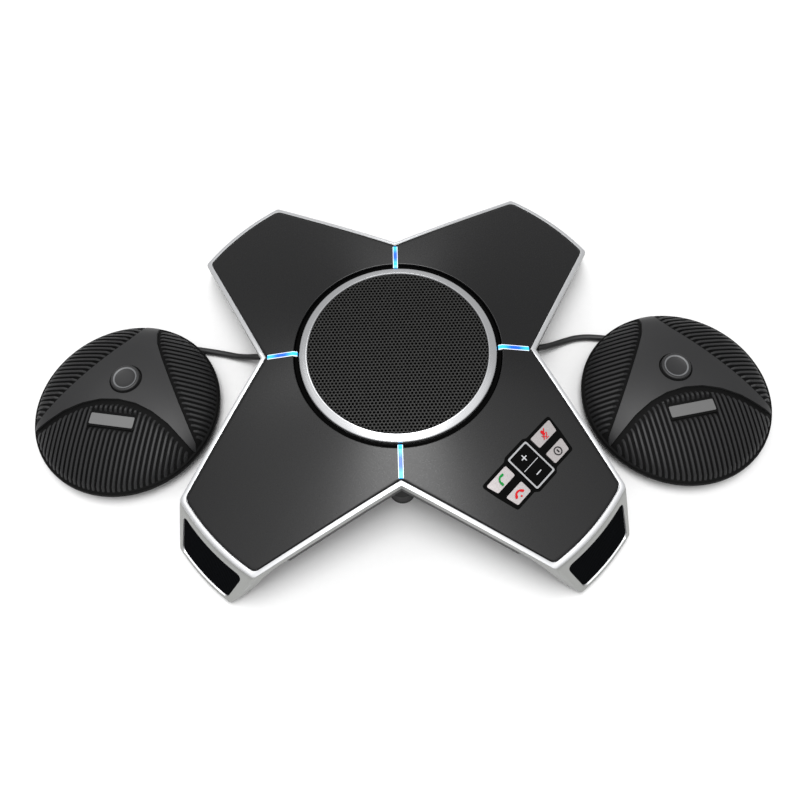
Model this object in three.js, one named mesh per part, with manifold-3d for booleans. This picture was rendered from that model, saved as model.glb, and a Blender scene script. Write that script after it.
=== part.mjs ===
// Conference speakerphone with two extension microphones on short cords.
// Millimetres, +Z up. The origin is on the table under the middle of the speaker.
// The four arms point along the diagonals; the keypad is on the front right arm (+X, -Y).

import * as THREE from "three";
import { mergeVertices } from "three/addons/utils/BufferGeometryUtils.js";
import Module from "manifold-3d";

// ---------------------------------------------------------------- driving dimensions

const GAP = 0.3; // left between touching pieces

// Outline of the main unit: four arms, each with straight sides and an end on one circle.
const ARM_SIDE = 64; // distance from the middle to the line of an arm's side
const ARM_TAPER = THREE.MathUtils.degToRad(16.44); // how far each side turns in towards the tip
const TIP_R = 133;
const NOTCH_R = ARM_SIDE / Math.cos(Math.PI / 4 - ARM_TAPER);
const ARMS = { rear_right: 45, rear_left: 135, front_left: 225, front_right: 315 };
const NOTCHES = { right: 0, rear: 90, left: 180, front: 270 };

// The top is one shallow cone round the speaker.
const NOTCH_Z = 44.8;
const CONE_SLOPE = 0.233; // drop for each millimetre outwards
const CREST_R = 55.1;
const CONE_SIDES = 48;

// Silver rim and its four flared end caps.
const RIM_BAND = 2.3;
const RIM_DEPTH = 4.2;
const RIM_CORNER = 2.4;
const CAP_FLARE = 0.451; // how far the end face runs out for each millimetre down
const CAP_BOTTOM = 2;
const CAP_WALL = 2.2;
const CAP_SIDE_LEAN = 0.052;
const WINDOW = { topZ: 26.3, bottomZ: 4.9, topHalf: 22.4, bottomHalf: 18.2, corner: 3.4 };

// Cover, housing and speaker.
const COVER_THICK = 2.2;
const COVER_INSET = RIM_BAND + GAP;
const COVER_CORNER = 4.4;
const WELL_R = 54.9;
const RING = { outer: 52, inner: 47.6, top: 50, bottom: 45.5 };
const GRILLE = { r: 47.2, top: 49, thick: 0.8 };
const HOUSING = { bottom: 5, wall: 2, inset: 12.3, slope: 0.3, tipR: 130 };
const FOOT = { r: 7.3, at: 60.8, height: 4.7 };
const LIGHT = { width: 2.6, thick: 0.9, rise: 0.12, outerR: 69.3, innerR: 52.9 };

// Keypad, in its own frame: x outwards down the cone, y across the arm, z off the surface.
const KEYPAD = { u: 90, v: 0.8, tilt: Math.atan(CONE_SLOPE) };
const KEYS = {
  mute_key: { x0: -8.9, x1: -2.5, y0: 9.6, outer0: 24.6, outer1: 23.0 },
  power_key: { x0: 1.6, x1: 8.2, y0: 9.6, outer0: 22.0, outer1: 20.4 },
  answer_key: { x0: -8.9, x1: -2.5, y0: -9.6, outer0: -24.0, outer1: -22.2 },
  hangup_key: { x0: 1.6, x1: 8.2, y0: -9.6, outer0: -21.0, outer1: -19.4 },
};
const KEY = { proud: 0.9, foot: -2.6, clearance: 0.35 };
const VOLUME = { x0: -10.1, x1: 10.0, half: 7.0, wall: 1.0, proud: 1.1, foot: -1.5 };
const ROCKER = { top: 0.8, foot: -2.3 };
const BEZEL = { margin: 1.7, proud: 0.35, foot: -1.6 };
// The mat lies flat, and the keys' feet follow the cone, so it is as low as the lowest pressed key.
const MAT = { top: -4.5, thick: 1.1 };
const KEY_BOARD = { top: -5.9, thick: 1.2, x: 11.5, y: 23 };

// Extension microphones: low ribbed domes that lie on the table.
const MIC = {
  baseR: 42,
  flangeR: 46,
  yaw: THREE.MathUtils.degToRad(9.5),
  saddle: 1.3,
  button: { y: 11, r: 8, hole: 9, top: 25 },
};
const MIC_PLACES = { left: [-154.2, -9.4], right: [154.2, -13.2] };

// Microphone cords, from the gland under each dome to the plug in the side notch.
const CORD_D = 3.8;
const CORD_SIDES = 8;
const CORD_ROUTES = {
  left: [
    [-133.7, 32.8, 2.6], [-130.2, 32.2, 2.5], [-126.6, 31.5, 2.2], [-122.9, 30.8, 2.0],
    [-119.0, 30.0, 2.0], [-115.0, 29.2, 2.0], [-111.0, 28.4, 2.0], [-107.0, 27.5, 2.0],
    [-103.0, 26.5, 2.1], [-99.0, 25.3, 2.4], [-95.4, 24.2, 3.0], [-92.2, 23.3, 4.0],
    [-89.2, 22.4, 5.3], [-86.4, 21.6, 6.8], [-83.6, 20.9, 7.9], [-80.9, 20.5, 8.4],
  ],
  right: [
    [133.7, 29.0, 2.6], [130.2, 28.5, 2.5], [126.6, 28.4, 2.2], [122.8, 28.8, 2.0],
    [119.0, 29.3, 2.0], [115.2, 29.8, 2.0], [111.4, 30.0, 2.0], [107.7, 29.9, 2.0],
    [104.0, 29.3, 2.1], [100.3, 28.2, 2.4], [96.7, 26.8, 3.0], [93.2, 25.2, 4.0],
    [89.9, 23.6, 5.3], [86.8, 22.1, 6.8], [83.8, 21.0, 7.9], [80.9, 20.5, 8.4],
  ],
};
const PLUG = { x: 80.6, y: 20.5, z: 8.4, r: 3.2, length: 5.4 };
const GLAND = { start: 0.3, length: 8, r0: 2.4, r1: 2.15, z: 2.6 };

// ---------------------------------------------------------------- materials

const finish = (color, roughness, metalness = 0) =>
  new THREE.MeshStandardMaterial({ color, roughness, metalness });
const MATERIALS = {
  cover: finish(0x1a1a1b, 0.35),
  silver: finish(0xc9cacc, 0.28, 0.9),
  housing: finish(0x151516, 0.6),
  mesh: finish(0x0c0c0d, 0.8),
  gloss: finish(0x060607, 0.12),
  grille: finish(0x2c2c2e, 0.5, 0.6),
  light: finish(0x5cc8ff, 0.3),
  key: finish(0xd0cccc, 0.35, 0.5),
  rubber: finish(0x101010, 0.9),
  board: finish(0x1d5a38, 0.6),
  steel: finish(0x8d9094, 0.4, 0.9),
  paper: finish(0x222222, 0.95),
  ribs: finish(0x2a2a2b, 0.55),
  saddle: finish(0x3a3a3b, 0.5),
  plate: finish(0x8b8c8e, 0.4, 0.7),
};

// ---------------------------------------------------------------- joins and cuts

const wasm = await Module();
wasm.setup();
const group = new THREE.Group();

function solid(geometry, matrix) {
  const bare = new THREE.BufferGeometry();
  bare.setAttribute("position", geometry.getAttribute("position").clone());
  if (geometry.index) bare.setIndex(geometry.index.clone());
  if (matrix) bare.applyMatrix4(matrix);
  const merged = mergeVertices(bare, 1e-4);
  const mesh = new wasm.Mesh({
    numProp: 3,
    vertProperties: merged.getAttribute("position").array,
    triVerts: new Uint32Array(merged.index.array),
  });
  return new wasm.Manifold(mesh);
}

function add(name, shape, material) {
  const { vertProperties, triVerts } = shape.getMesh();
  const geometry = new THREE.BufferGeometry();
  geometry.setAttribute("position", new THREE.BufferAttribute(vertProperties.slice(), 3));
  geometry.setIndex(new THREE.BufferAttribute(triVerts.slice(), 1));
  geometry.computeVertexNormals();
  const mesh = new THREE.Mesh(geometry, material);
  mesh.name = name;
  group.add(mesh);
}

// ---------------------------------------------------------------- basic shapes

const rad = THREE.MathUtils.degToRad;
const turned = (degrees) => new THREE.Matrix4().makeRotationZ(rad(degrees));
const moved = (x, y, z) => new THREE.Matrix4().makeTranslation(x, y, z);

function prism(shape, z0, z1, matrix, curveSegments = 2) {
  const geometry = new THREE.ExtrudeGeometry(shape, {
    depth: z1 - z0,
    bevelEnabled: false,
    curveSegments,
  });
  geometry.translate(0, 0, z0);
  return solid(geometry, matrix);
}

// A profile of [r, z] points that starts and ends on the axis, turned round Z.
function turning(points, sides, matrix) {
  const geometry = new THREE.LatheGeometry(
    points.map(([r, z]) => new THREE.Vector2(r, z)),
    sides,
  );
  geometry.rotateX(Math.PI / 2);
  return solid(geometry, matrix);
}

function rod(r0, r1, length, sides, matrix) {
  return turning([[0, 0], [r0, 0], [r1, length], [0, length]], sides, matrix);
}

function box(x0, x1, y0, y1, z0, z1, matrix) {
  const geometry = new THREE.BoxGeometry(x1 - x0, y1 - y0, z1 - z0);
  geometry.translate((x0 + x1) / 2, (y0 + y1) / 2, (z0 + z1) / 2);
  return solid(geometry, matrix);
}

function polygon(points) {
  return new THREE.Shape(points.map(([x, y]) => new THREE.Vector2(x, y)));
}

function rounded(points, radius) {
  const shape = new THREE.Shape();
  const corners = points.map(([x, y]) => new THREE.Vector2(x, y));
  corners.forEach((corner, i) => {
    const before = corners.at(i - 1);
    const after = corners[(i + 1) % corners.length];
    const enter = before.clone().sub(corner).setLength(radius).add(corner);
    const leave = after.clone().sub(corner).setLength(radius).add(corner);
    if (i === 0) shape.moveTo(enter.x, enter.y);
    else shape.lineTo(enter.x, enter.y);
    shape.quadraticCurveTo(corner.x, corner.y, leave.x, leave.y);
  });
  shape.closePath();
  return shape;
}

// ---------------------------------------------------------------- the main unit's surfaces

const coneZ = (r) => NOTCH_Z - CONE_SLOPE * (r - NOTCH_R);
const FAR_R = 160;

// Everything below the cone when it is raised by rise.
function belowCone(rise) {
  const crest = coneZ(CREST_R) + rise;
  const edge = coneZ(FAR_R) + rise;
  return turning([[0, -5], [FAR_R, -5], [FAR_R, edge], [CREST_R, crest], [0, crest]], CONE_SIDES);
}

// The four-armed outline, moved in by inset, with round corners at the tips.
function armOutline(inset, corner, tipR = TIP_R - inset) {
  const shape = new THREE.Shape();
  const side = ARM_SIDE - inset;
  const notch = side / Math.cos(Math.PI / 4 - ARM_TAPER);
  const normal = Math.PI / 2 - ARM_TAPER;
  const across = side - corner;
  const along = Math.sqrt((tipR - corner) ** 2 - across ** 2);
  const reach = Math.hypot(across, along);
  const turn = normal - Math.atan2(along, across);
  for (const degrees of Object.values(ARMS)) {
    const arm = rad(degrees);
    const next = arm + Math.PI / 4;
    const lower = [reach * Math.cos(arm - turn), reach * Math.sin(arm - turn)];
    const upper = [reach * Math.cos(arm + turn), reach * Math.sin(arm + turn)];
    shape.absarc(...lower, corner, arm - normal, arm - turn, false);
    shape.absarc(0, 0, tipR, arm - turn, arm + turn, false);
    shape.absarc(...upper, corner, arm + turn, arm + normal, false);
    shape.lineTo(notch * Math.cos(next), notch * Math.sin(next));
  }
  shape.closePath();
  return shape;
}

// ---------------------------------------------------------------- silver rim with end caps

const TIP_Z = coneZ(TIP_R);

// Arm frame: x along the arm, y across it, z up.
// A shape drawn across the arm (y, z), pushed through it along x.
const ACROSS = new THREE.Matrix4().set(0, 0, 1, 0, 1, 0, 0, 0, 0, 1, 0, 0, 0, 0, 0, 1);
// A shape drawn along the arm (x, z), pushed through it along y.
const ALONG = new THREE.Matrix4().set(1, 0, 0, 0, 0, 0, -1, 0, 0, 1, 0, 0, 0, 0, 0, 1);

// The solid inside the flared end face, set back by back.
function flare(back) {
  const shape = new THREE.Shape();
  const turn = rad(20);
  const r = TIP_R - back;
  shape.moveTo(0, 0);
  shape.lineTo(r * Math.cos(turn), -r * Math.sin(turn));
  shape.absarc(0, 0, r, -turn, turn, false);
  shape.closePath();
  const lean = new THREE.Matrix4().set(
    1, 0, -CAP_FLARE, CAP_FLARE * TIP_Z,
    0, 1, 0, 0,
    0, 0, 1, 0,
    0, 0, 0, 1,
  );
  return prism(shape, -2, 60, lean, 5);
}

// What lies outside an arm's side wall, which leans in a little towards the table.
function beyondSide(sign, inset) {
  const place = new THREE.Matrix4()
    .makeRotationZ(sign * (Math.PI / 2 - ARM_TAPER))
    .multiply(moved(ARM_SIDE - inset, 0, TIP_Z))
    .multiply(new THREE.Matrix4().makeRotationY(CAP_SIDE_LEAN));
  return box(0, 60, -260, 260, -60, 60, place);
}

function capBlock(back, inset, bottom) {
  const across = polygon([
    [-20.5, bottom], [20.5, bottom], [24, bottom + 1.8], [26, bottom + 6],
    [38, 60], [-38, 60], [-26, bottom + 6], [-24, bottom + 1.8],
  ]);
  return flare(back)
    .intersect(prism(across, 90, 170, ACROSS))
    .subtract(beyondSide(1, inset))
    .subtract(beyondSide(-1, inset));
}

function endCap() {
  const sideView = polygon([
    [112, coneZ(112) - 3],
    [117, coneZ(117) - RIM_DEPTH],
    [124, coneZ(124) - RIM_DEPTH - 3.5],
    [139.6, CAP_BOTTOM - 1],
    [152, CAP_BOTTOM - 1],
    [152, 60],
    [112, 60],
  ]);
  const outer = capBlock(-0.1, 0, CAP_BOTTOM).intersect(prism(sideView, -40, 40, ALONG));
  const inner = capBlock(CAP_WALL, CAP_WALL - 0.2, CAP_BOTTOM + CAP_WALL);
  const window = prism(windowShape(0), 120, 170, ACROSS);
  return outer.subtract(inner).subtract(window);
}

function windowShape(grow) {
  const { topZ, bottomZ, topHalf, bottomHalf, corner } = WINDOW;
  return rounded(
    [
      [-bottomHalf - grow, bottomZ - grow],
      [bottomHalf + grow, bottomZ - grow],
      [topHalf + grow, topZ + grow],
      [-topHalf - grow, topZ + grow],
    ],
    corner + grow,
  );
}

function rimFrame() {
  const pocket = prism(armOutline(RIM_BAND, COVER_CORNER), -1, 61);
  const opening = prism(armOutline(RIM_BAND + 3, COVER_CORNER - 2), -1, 61);
  let solidFrame = prism(armOutline(0, RIM_CORNER), 0, 60).subtract(belowCone(-RIM_DEPTH));
  for (const degrees of Object.values(ARMS)) {
    const cap = endCap().transform([...turned(degrees).elements]);
    solidFrame = solidFrame.subtract(opening).add(cap);
  }
  const room = pocket.subtract(belowCone(-COVER_THICK - GAP));
  return solidFrame.subtract(room).intersect(belowCone(0));
}

add("rim_frame", rimFrame(), MATERIALS.silver);

for (const [arm, degrees] of Object.entries(ARMS)) {
  const plate = flare(0.4)
    .subtract(flare(1.9))
    .intersect(prism(windowShape(-GAP), 120, 170, ACROSS))
    .transform([...turned(degrees).elements]);
  add(`mic_window_${arm}`, plate, MATERIALS.mesh);
  const capsule = rod(4.9, 4.9, 4.6, 12, turned(degrees)
    .multiply(moved(131, 0, 15))
    .multiply(new THREE.Matrix4().makeRotationY(Math.PI / 2)));
  add(`mic_capsule_${arm}`, capsule, MATERIALS.steel);
}

// ---------------------------------------------------------------- keypad

const KEYPAD_FRAME = turned(ARMS.front_right)
  .multiply(moved(KEYPAD.u, KEYPAD.v, coneZ(Math.hypot(KEYPAD.u, KEYPAD.v))))
  .multiply(new THREE.Matrix4().makeRotationY(KEYPAD.tilt));

// A shape drawn in the keypad frame, between two surfaces that follow the cone.
function onCone(shape, low, high) {
  return prism(shape, low - 4, high + 4, KEYPAD_FRAME)
    .intersect(belowCone(high))
    .subtract(belowCone(low));
}

function keyShape({ x0, x1, y0, outer0, outer1 }, grow) {
  const side = Math.sign(y0);
  const corners = [
    [x0 - grow, y0 - side * grow],
    [x1 + grow, y0 - side * grow],
    [x1 + grow, outer1 + side * grow],
    [x0 - grow, outer0 + side * grow],
  ];
  return rounded(side > 0 ? corners : corners.reverse(), 0.8);
}

function volumeShape(grow) {
  const { x0, x1, half } = VOLUME;
  const y = half + grow;
  return rounded([[x0 - grow, -y], [x1 + grow, -y], [x1 + grow, y], [x0 - grow, y]], 0.8);
}

function bezelShape(grow) {
  const m = BEZEL.margin + grow;
  const { mute_key, power_key, answer_key, hangup_key } = KEYS;
  const { x0, x1 } = VOLUME;
  return rounded(
    [
      [mute_key.x0 - m, mute_key.outer0 + m],
      [mute_key.x0 - m, VOLUME.half + m],
      [x0 - m, VOLUME.half + m - 2],
      [x0 - m, -VOLUME.half - m + 2],
      [answer_key.x0 - m, -VOLUME.half - m],
      [answer_key.x0 - m, answer_key.outer0 - m],
      [answer_key.x1 + m, answer_key.outer1 - m],
      [hangup_key.x1 + m, hangup_key.outer1 - m],
      [hangup_key.x1 + m, -VOLUME.half - m],
      [x1 + m, -VOLUME.half - m + 2],
      [x1 + m, VOLUME.half + m - 2],
      [power_key.x1 + m, VOLUME.half + m],
      [power_key.x1 + m, power_key.outer1 + m],
      [mute_key.x1 + m, mute_key.outer1 + m],
    ],
    0.7,
  );
}

let bezel = onCone(bezelShape(0), BEZEL.foot, BEZEL.proud);
for (const key of Object.values(KEYS)) {
  bezel = bezel.subtract(prism(keyShape(key, KEY.clearance), -8, 8, KEYPAD_FRAME));
}
bezel = bezel.subtract(prism(volumeShape(GAP), -8, 8, KEYPAD_FRAME));
add("keypad_bezel", bezel, MATERIALS.gloss);

for (const [name, key] of Object.entries(KEYS)) {
  add(name, onCone(keyShape(key, 0), KEY.foot, KEY.proud), MATERIALS.key);
}

const frameHole = prism(volumeShape(-VOLUME.wall), -8, 8, KEYPAD_FRAME);
const volumeFrame = onCone(volumeShape(0), VOLUME.foot, VOLUME.proud).subtract(frameHole);
add("volume_frame", volumeFrame, MATERIALS.silver);
const rocker = onCone(volumeShape(-VOLUME.wall - KEY.clearance), ROCKER.foot, ROCKER.top);
add("volume_rocker", rocker, MATERIALS.gloss);

function underKeys(top, thick, grow) {
  const x = KEY_BOARD.x + grow;
  const y = KEY_BOARD.y + grow;
  return box(-x, x - 1, -y, y, top - thick, top, KEYPAD_FRAME);
}

add("key_mat", underKeys(MAT.top, MAT.thick, -0.5), MATERIALS.rubber);
add("key_board", underKeys(KEY_BOARD.top, KEY_BOARD.thick, 0), MATERIALS.board);

// ---------------------------------------------------------------- cover and light bars

function lightSlot(grow) {
  const half = LIGHT.width / 2 + grow;
  const outer = LIGHT.outerR + grow;
  return polygon([[40, -half], [outer, -half], [outer, half], [40, half]]);
}

const underGroove = belowCone(-LIGHT.thick - GAP);
let cover = prism(armOutline(COVER_INSET, COVER_CORNER), 0, 60)
  .intersect(belowCone(0))
  .subtract(belowCone(-COVER_THICK))
  .subtract(rod(WELL_R, WELL_R, 60, CONE_SIDES))
  .subtract(prism(bezelShape(GAP), -8, 8, KEYPAD_FRAME));
for (const degrees of Object.values(NOTCHES)) {
  const groove = prism(lightSlot(GAP), 0, 60, turned(degrees)).subtract(underGroove);
  cover = cover.subtract(groove);
}
add("top_cover", cover, MATERIALS.cover);

// Each bar follows the cone inwards and bends down over the crest to the grille ring.
for (const [notch, degrees] of Object.entries(NOTCHES)) {
  const { width, thick, rise, outerR, innerR } = LIGHT;
  const profile = polygon([
    [innerR, 47.6],
    [CREST_R - 0.7, 47.6],
    [CREST_R - 0.1, coneZ(CREST_R) - thick],
    [outerR, coneZ(outerR) - thick],
    [outerR, coneZ(outerR) + rise],
    [CREST_R, coneZ(CREST_R) + rise],
    [CREST_R - 0.9, coneZ(CREST_R) - 0.25],
    [innerR, 48.3],
  ]);
  const bar = prism(profile, -width / 2, width / 2, turned(degrees).multiply(ALONG));
  add(`light_bar_${notch}`, bar, MATERIALS.light);
}

// ---------------------------------------------------------------- speaker

const recess = turning(
  [
    [0, 43.6], [WELL_R - GAP, 43.6], [WELL_R - GAP, 47.2],
    [RING.outer + GAP, 47.0], [RING.outer + GAP, 45.0], [0, 45.0],
  ],
  CONE_SIDES,
).subtract(turning([[0, 40], [46.4, 40], [46.4, 50], [0, 50]], CONE_SIDES));
add("recess_ring", recess, MATERIALS.gloss);

const grilleRing = turning(
  [
    [0, RING.bottom], [RING.outer, RING.bottom], [RING.outer, RING.top - 0.9],
    [RING.outer - 0.9, RING.top], [RING.inner + 0.6, RING.top - 0.2], [RING.inner, RING.top - 0.7],
    [0, RING.top - 0.7],
  ],
  CONE_SIDES,
).subtract(turning([[0, 40], [RING.inner, 40], [RING.inner, 60], [0, 60]], CONE_SIDES));
add("grille_ring", grilleRing, MATERIALS.silver);

const grille = turning(
  [
    [0, GRILLE.top - GRILLE.thick],
    [GRILLE.r, GRILLE.top - GRILLE.thick],
    [GRILLE.r, GRILLE.top],
    [0, GRILLE.top],
  ],
  CONE_SIDES,
);
add("speaker_grille", grille, MATERIALS.grille);

const driver = turning(
  [
    [0, 13], [21, 13], [21, 21], [25, 23], [40, 38], [45, 39], [45, 43],
    [38.5, 43], [38.5, 40], [16, 23.5], [0, 23.5],
  ],
  20,
);
add("speaker_driver", driver, MATERIALS.steel);

const speakerCone = turning(
  [[0, 25], [14, 25], [37.4, 42], [37.8, 43.3], [44, 43.3], [44, 44.5], [36, 44.5], [14, 28.5], [0, 30.5]],
  20,
);
add("speaker_cone", speakerCone, MATERIALS.paper);

// ---------------------------------------------------------------- lower housing, boards, sockets

// Half the width of the tongue that closes each end cap from below.
const TONGUE_HALF = 18;

// A block with walls that slope outwards from a small bottom outline.
function slopedBlock(inset, bottom, tipR) {
  const height = 36;
  const geometry = new THREE.ExtrudeGeometry(armOutline(inset, 3, tipR), {
    depth: 4,
    bevelEnabled: true,
    bevelThickness: height,
    bevelSize: height * HOUSING.slope,
    bevelSegments: 1,
    curveSegments: 2,
  });
  geometry.translate(0, 0, bottom + height);
  return solid(geometry);
}

const socketBarrel = (side, r, x0, x1) =>
  rod(r, r, x1 - x0, 12, moved(side * x0, PLUG.y, PLUG.z)
    .multiply(new THREE.Matrix4().makeRotationY((side * Math.PI) / 2)));

// Sockets in the two rear walls beside the rear notch, each square to its wall.
const SOCKET = { along: 48, z: 12, sunk: 1.4, deep: 12.6 };
const SOCKETS = {
  usb_socket: { arm: ARMS.rear_right, side: 1, width: 9, height: 3.2, half: [6, 3.2] },
  audio_socket: { arm: ARMS.rear_left, side: -1, width: 3.5, height: 3.5, half: [4, 3.6] },
};

// Socket frame: x out through the wall, y along it, z up; the origin is on the wall.
function socketPlace({ arm, side }) {
  const wall = ARM_SIDE - HOUSING.inset + HOUSING.slope * (SOCKET.z - HOUSING.bottom);
  const facing = arm + side * (90 - THREE.MathUtils.radToDeg(ARM_TAPER));
  return turned(facing).multiply(moved(wall, -side * SOCKET.along, SOCKET.z));
}

function lowerHousing() {
  const { bottom, wall, inset, tipR } = HOUSING;
  const tips = (r) => turning([[0, -2], [r, -2], [r, 60], [0, 60]], CONE_SIDES);
  const outside = slopedBlock(inset, bottom, tipR - 2)
    .intersect(tips(tipR))
    .intersect(belowCone(-RIM_DEPTH - GAP));
  const inside = slopedBlock(inset + wall, bottom + wall, tipR - 4)
    .intersect(tips(tipR - wall));
  let housing = outside.subtract(inside);
  for (const degrees of Object.values(NOTCHES)) {
    const boss = rod(FOOT.r, FOOT.r, 8, 14, moved(0, 0, bottom));
    const taper = rod(FOOT.r, 4.5, 4, 14, moved(0, 0, bottom + 8));
    const both = boss.add(taper).translate([FOOT.at, 0, 0]);
    housing = housing.add(both.transform([...turned(degrees).elements]));
  }
  for (const side of [-1, 1]) {
    housing = housing.add(socketBarrel(side, 4.2, 64, PLUG.x - PLUG.length - 2 * GAP));
  }
  for (const degrees of Object.values(ARMS)) {
    const tongue = box(tipR - 12, tipR + 20, -TONGUE_HALF, TONGUE_HALF, bottom, bottom + wall)
      .intersect(flare(CAP_WALL + GAP));
    housing = housing.add(tongue.transform([...turned(degrees).elements]));
  }
  for (const socket of Object.values(SOCKETS)) {
    const [w, h] = socket.half.map((value) => value + GAP);
    const tunnel = box(-SOCKET.sunk - SOCKET.deep, SOCKET.deep, -w, w, -h, h, socketPlace(socket));
    housing = housing.subtract(tunnel);
  }
  for (const degrees of Object.values(ARMS)) {
    const screwWell = rod(3.2, 3.2, 1.2, 10, turned(degrees).multiply(moved(100, 0, bottom - 0.1)));
    housing = housing.subtract(screwWell);
  }
  return housing;
}

add("lower_housing", lowerHousing(), MATERIALS.housing);

for (const [name, socket] of Object.entries(SOCKETS)) {
  const { width, height, half: [w, h] } = socket;
  const place = socketPlace(socket);
  const back = -SOCKET.sunk - SOCKET.deep;
  const block = box(back, -SOCKET.sunk, -w, w, -h, h, place);
  const hole = box(back + 4, 1, -width / 2, width / 2, -height / 2, height / 2, place);
  add(name, block.subtract(hole), MATERIALS.steel);
}

for (const [arm, degrees] of Object.entries(ARMS)) {
  const place = turned(degrees).multiply(moved(100, 0, HOUSING.bottom - 0.2));
  add(`housing_screw_${arm}`, rod(2.8, 2.8, 1, 10, place), MATERIALS.steel);
}

for (const [notch, degrees] of Object.entries(NOTCHES)) {
  const place = turned(degrees).multiply(moved(FOOT.at, 0, 0));
  const { r, height } = FOOT;
  const foot = turning([[0, 0], [r - 1.2, 0], [r - 0.2, 1.2], [r - 0.2, height], [0, height]], 16, place);
  add(`foot_${notch}`, foot, MATERIALS.rubber);
}

add("main_board", box(-36, 36, -38, 40, 8, 9.6), MATERIALS.board);

// ---------------------------------------------------------------- extension microphones

// Dome profile, from the rolled edge to the middle.
const DOME = [
  [50.4, 5.2], [52.3, 7.2], [52.4, 9.6], [49.6, 12.8], [45.5, 15.2],
  [39.5, 17.7], [30, 20.5], [16, 22.8], [0, 23.7],
];
const DOME_SIDES = 28;

function dome(rise, bottom) {
  const lift = DOME.map(([r, z]) => [r, z + rise]);
  return turning([[0, bottom], [DOME[0][0], bottom], ...lift], DOME_SIDES);
}

// Half of the saddle's outline seen from above: a narrow tail at the back, two long arms in front.
const SADDLE_HALF = [
  [4, 51.5], [5.4, 45], [8.6, 37.5], [14.6, 28], [29, 6.5], [45.6, -18],
  [47.2, -23.4], [40, -18.2], [30, -10.9], [20, -5.7], [10, -2.5],
];

// The outline with every edge moved out by grow.
function saddleShape(grow) {
  const mirrored = SADDLE_HALF.map(([x, y]) => [-x, y]);
  const corners = [...mirrored, [0, -1.5], ...SADDLE_HALF.slice().reverse()];
  const points = corners.map(([x, y]) => new THREE.Vector2(x, y));
  const outward = points.map((point, i) => {
    const before = point.clone().sub(points.at(i - 1)).normalize();
    const after = points[(i + 1) % points.length].clone().sub(point).normalize();
    const middle = before.clone().add(after).normalize();
    const stretch = 1 / Math.max(0.5, middle.dot(after));
    return new THREE.Vector2(middle.y, -middle.x).multiplyScalar(grow * stretch).add(point);
  });
  return new THREE.Shape(outward);
}

const NAMEPLATE = { width: 24.6, depth: 6.2, y: -14.2, tilt: 0.27, thick: 0.7 };
const PLATE_PLACE = moved(0, NAMEPLATE.y, 22.7)
  .multiply(new THREE.Matrix4().makeRotationX(NAMEPLATE.tilt));

function micParts(side, sign, place) {
  const here = (shape) => shape.transform([...place.elements]);
  const { baseR, flangeR, button } = MIC;
  const name = (part) => `mic_${part}_${side}`;

  const pad = turning([[0, 0], [36, 0], [36.6, 0.6], [36.6, 1.2], [0, 1.2]], 24);
  add(name("pad"), here(pad), MATERIALS.rubber);

  const plate = turning(
    [[0, 1.5], [baseR - 1, 1.5], [baseR, 2.5], [baseR, 5.3], [flangeR, 5.3], [flangeR, 7.4], [0, 7.4]],
    24,
  );
  const boss = box(-5.4, 4.6, 40, 48.6, 0.4, 7.4);
  const mirrored = sign > 0 ? boss : boss.mirror([1, 0, 0]);
  add(name("base"), here(plate.add(mirrored)), MATERIALS.housing);

  const hollow = turning(
    [[0, 4], [flangeR + GAP, 4], [flangeR + GAP, 12], [38, 15.6], [22, 19.6], [0, 21.2]],
    DOME_SIDES,
  );
  const step = prism(saddleShape(GAP), 5, 40).subtract(dome(-0.9, -3));
  const buttonWell = rod(button.hole + 1, button.hole + 1, 12, 14, moved(0, button.y, 16));
  const plateSeat = box(-12.6, 12.6, -3.4, 3.4, -1.0, 3, PLATE_PLACE);
  const shell = dome(0, DOME[0][1]).subtract(hollow).subtract(step).subtract(buttonWell)
    .subtract(plateSeat).subtract(box(-6, 6, 39, 50, -4, 7.8));
  add(name("shell"), here(shell), MATERIALS.ribs);

  const saddle = dome(MIC.saddle, -3)
    .subtract(dome(-0.6, -4))
    .intersect(prism(saddleShape(0), 8.8, 40))
    .subtract(rod(button.hole, button.hole, 30, 20, moved(0, button.y, 10)));
  add(name("saddle"), here(saddle), MATERIALS.saddle);

  const cap = turning(
    [
      [0, 20.8], [button.r, 20.8], [button.r, button.top - 0.5], [button.r - 0.6, button.top],
      [6.2, button.top - 0.1], [5.6, button.top - 0.5], [0, button.top - 0.7],
    ],
    20,
    moved(0, button.y, 0),
  );
  add(name("button"), here(cap), MATERIALS.saddle);

  const { width, depth, thick } = NAMEPLATE;
  const badge = box(-width / 2, width / 2, -depth / 2, depth / 2, -thick, 0, PLATE_PLACE);
  add(name("nameplate"), here(badge), MATERIALS.plate);

  const board = rod(20, 20, 1.6, 14, moved(0, 0, 9));
  const capsule = rod(4.9, 4.9, 4.5, 10, moved(0, -9, 10));
  add(name("board"), here(board.add(capsule)), MATERIALS.board);

  const out = moved(sign * (4.6 + GLAND.start), 45, GLAND.z)
    .multiply(new THREE.Matrix4().makeRotationY((sign * Math.PI) / 2));
  add(name("gland"), here(rod(GLAND.r0, GLAND.r1, GLAND.length, 12, out)), MATERIALS.rubber);
}

function cordTube(route) {
  const points = route.map((point) => new THREE.Vector3(...point));
  const path = new THREE.CatmullRomCurve3(points, false, "centripetal");
  const section = new THREE.Shape();
  section.absarc(0, 0, CORD_D / 2, 0, 2 * Math.PI, false);
  const geometry = new THREE.ExtrudeGeometry(section, {
    steps: 20,
    curveSegments: CORD_SIDES / 2,
    extrudePath: path,
    bevelEnabled: false,
  });
  return solid(geometry);
}

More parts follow.
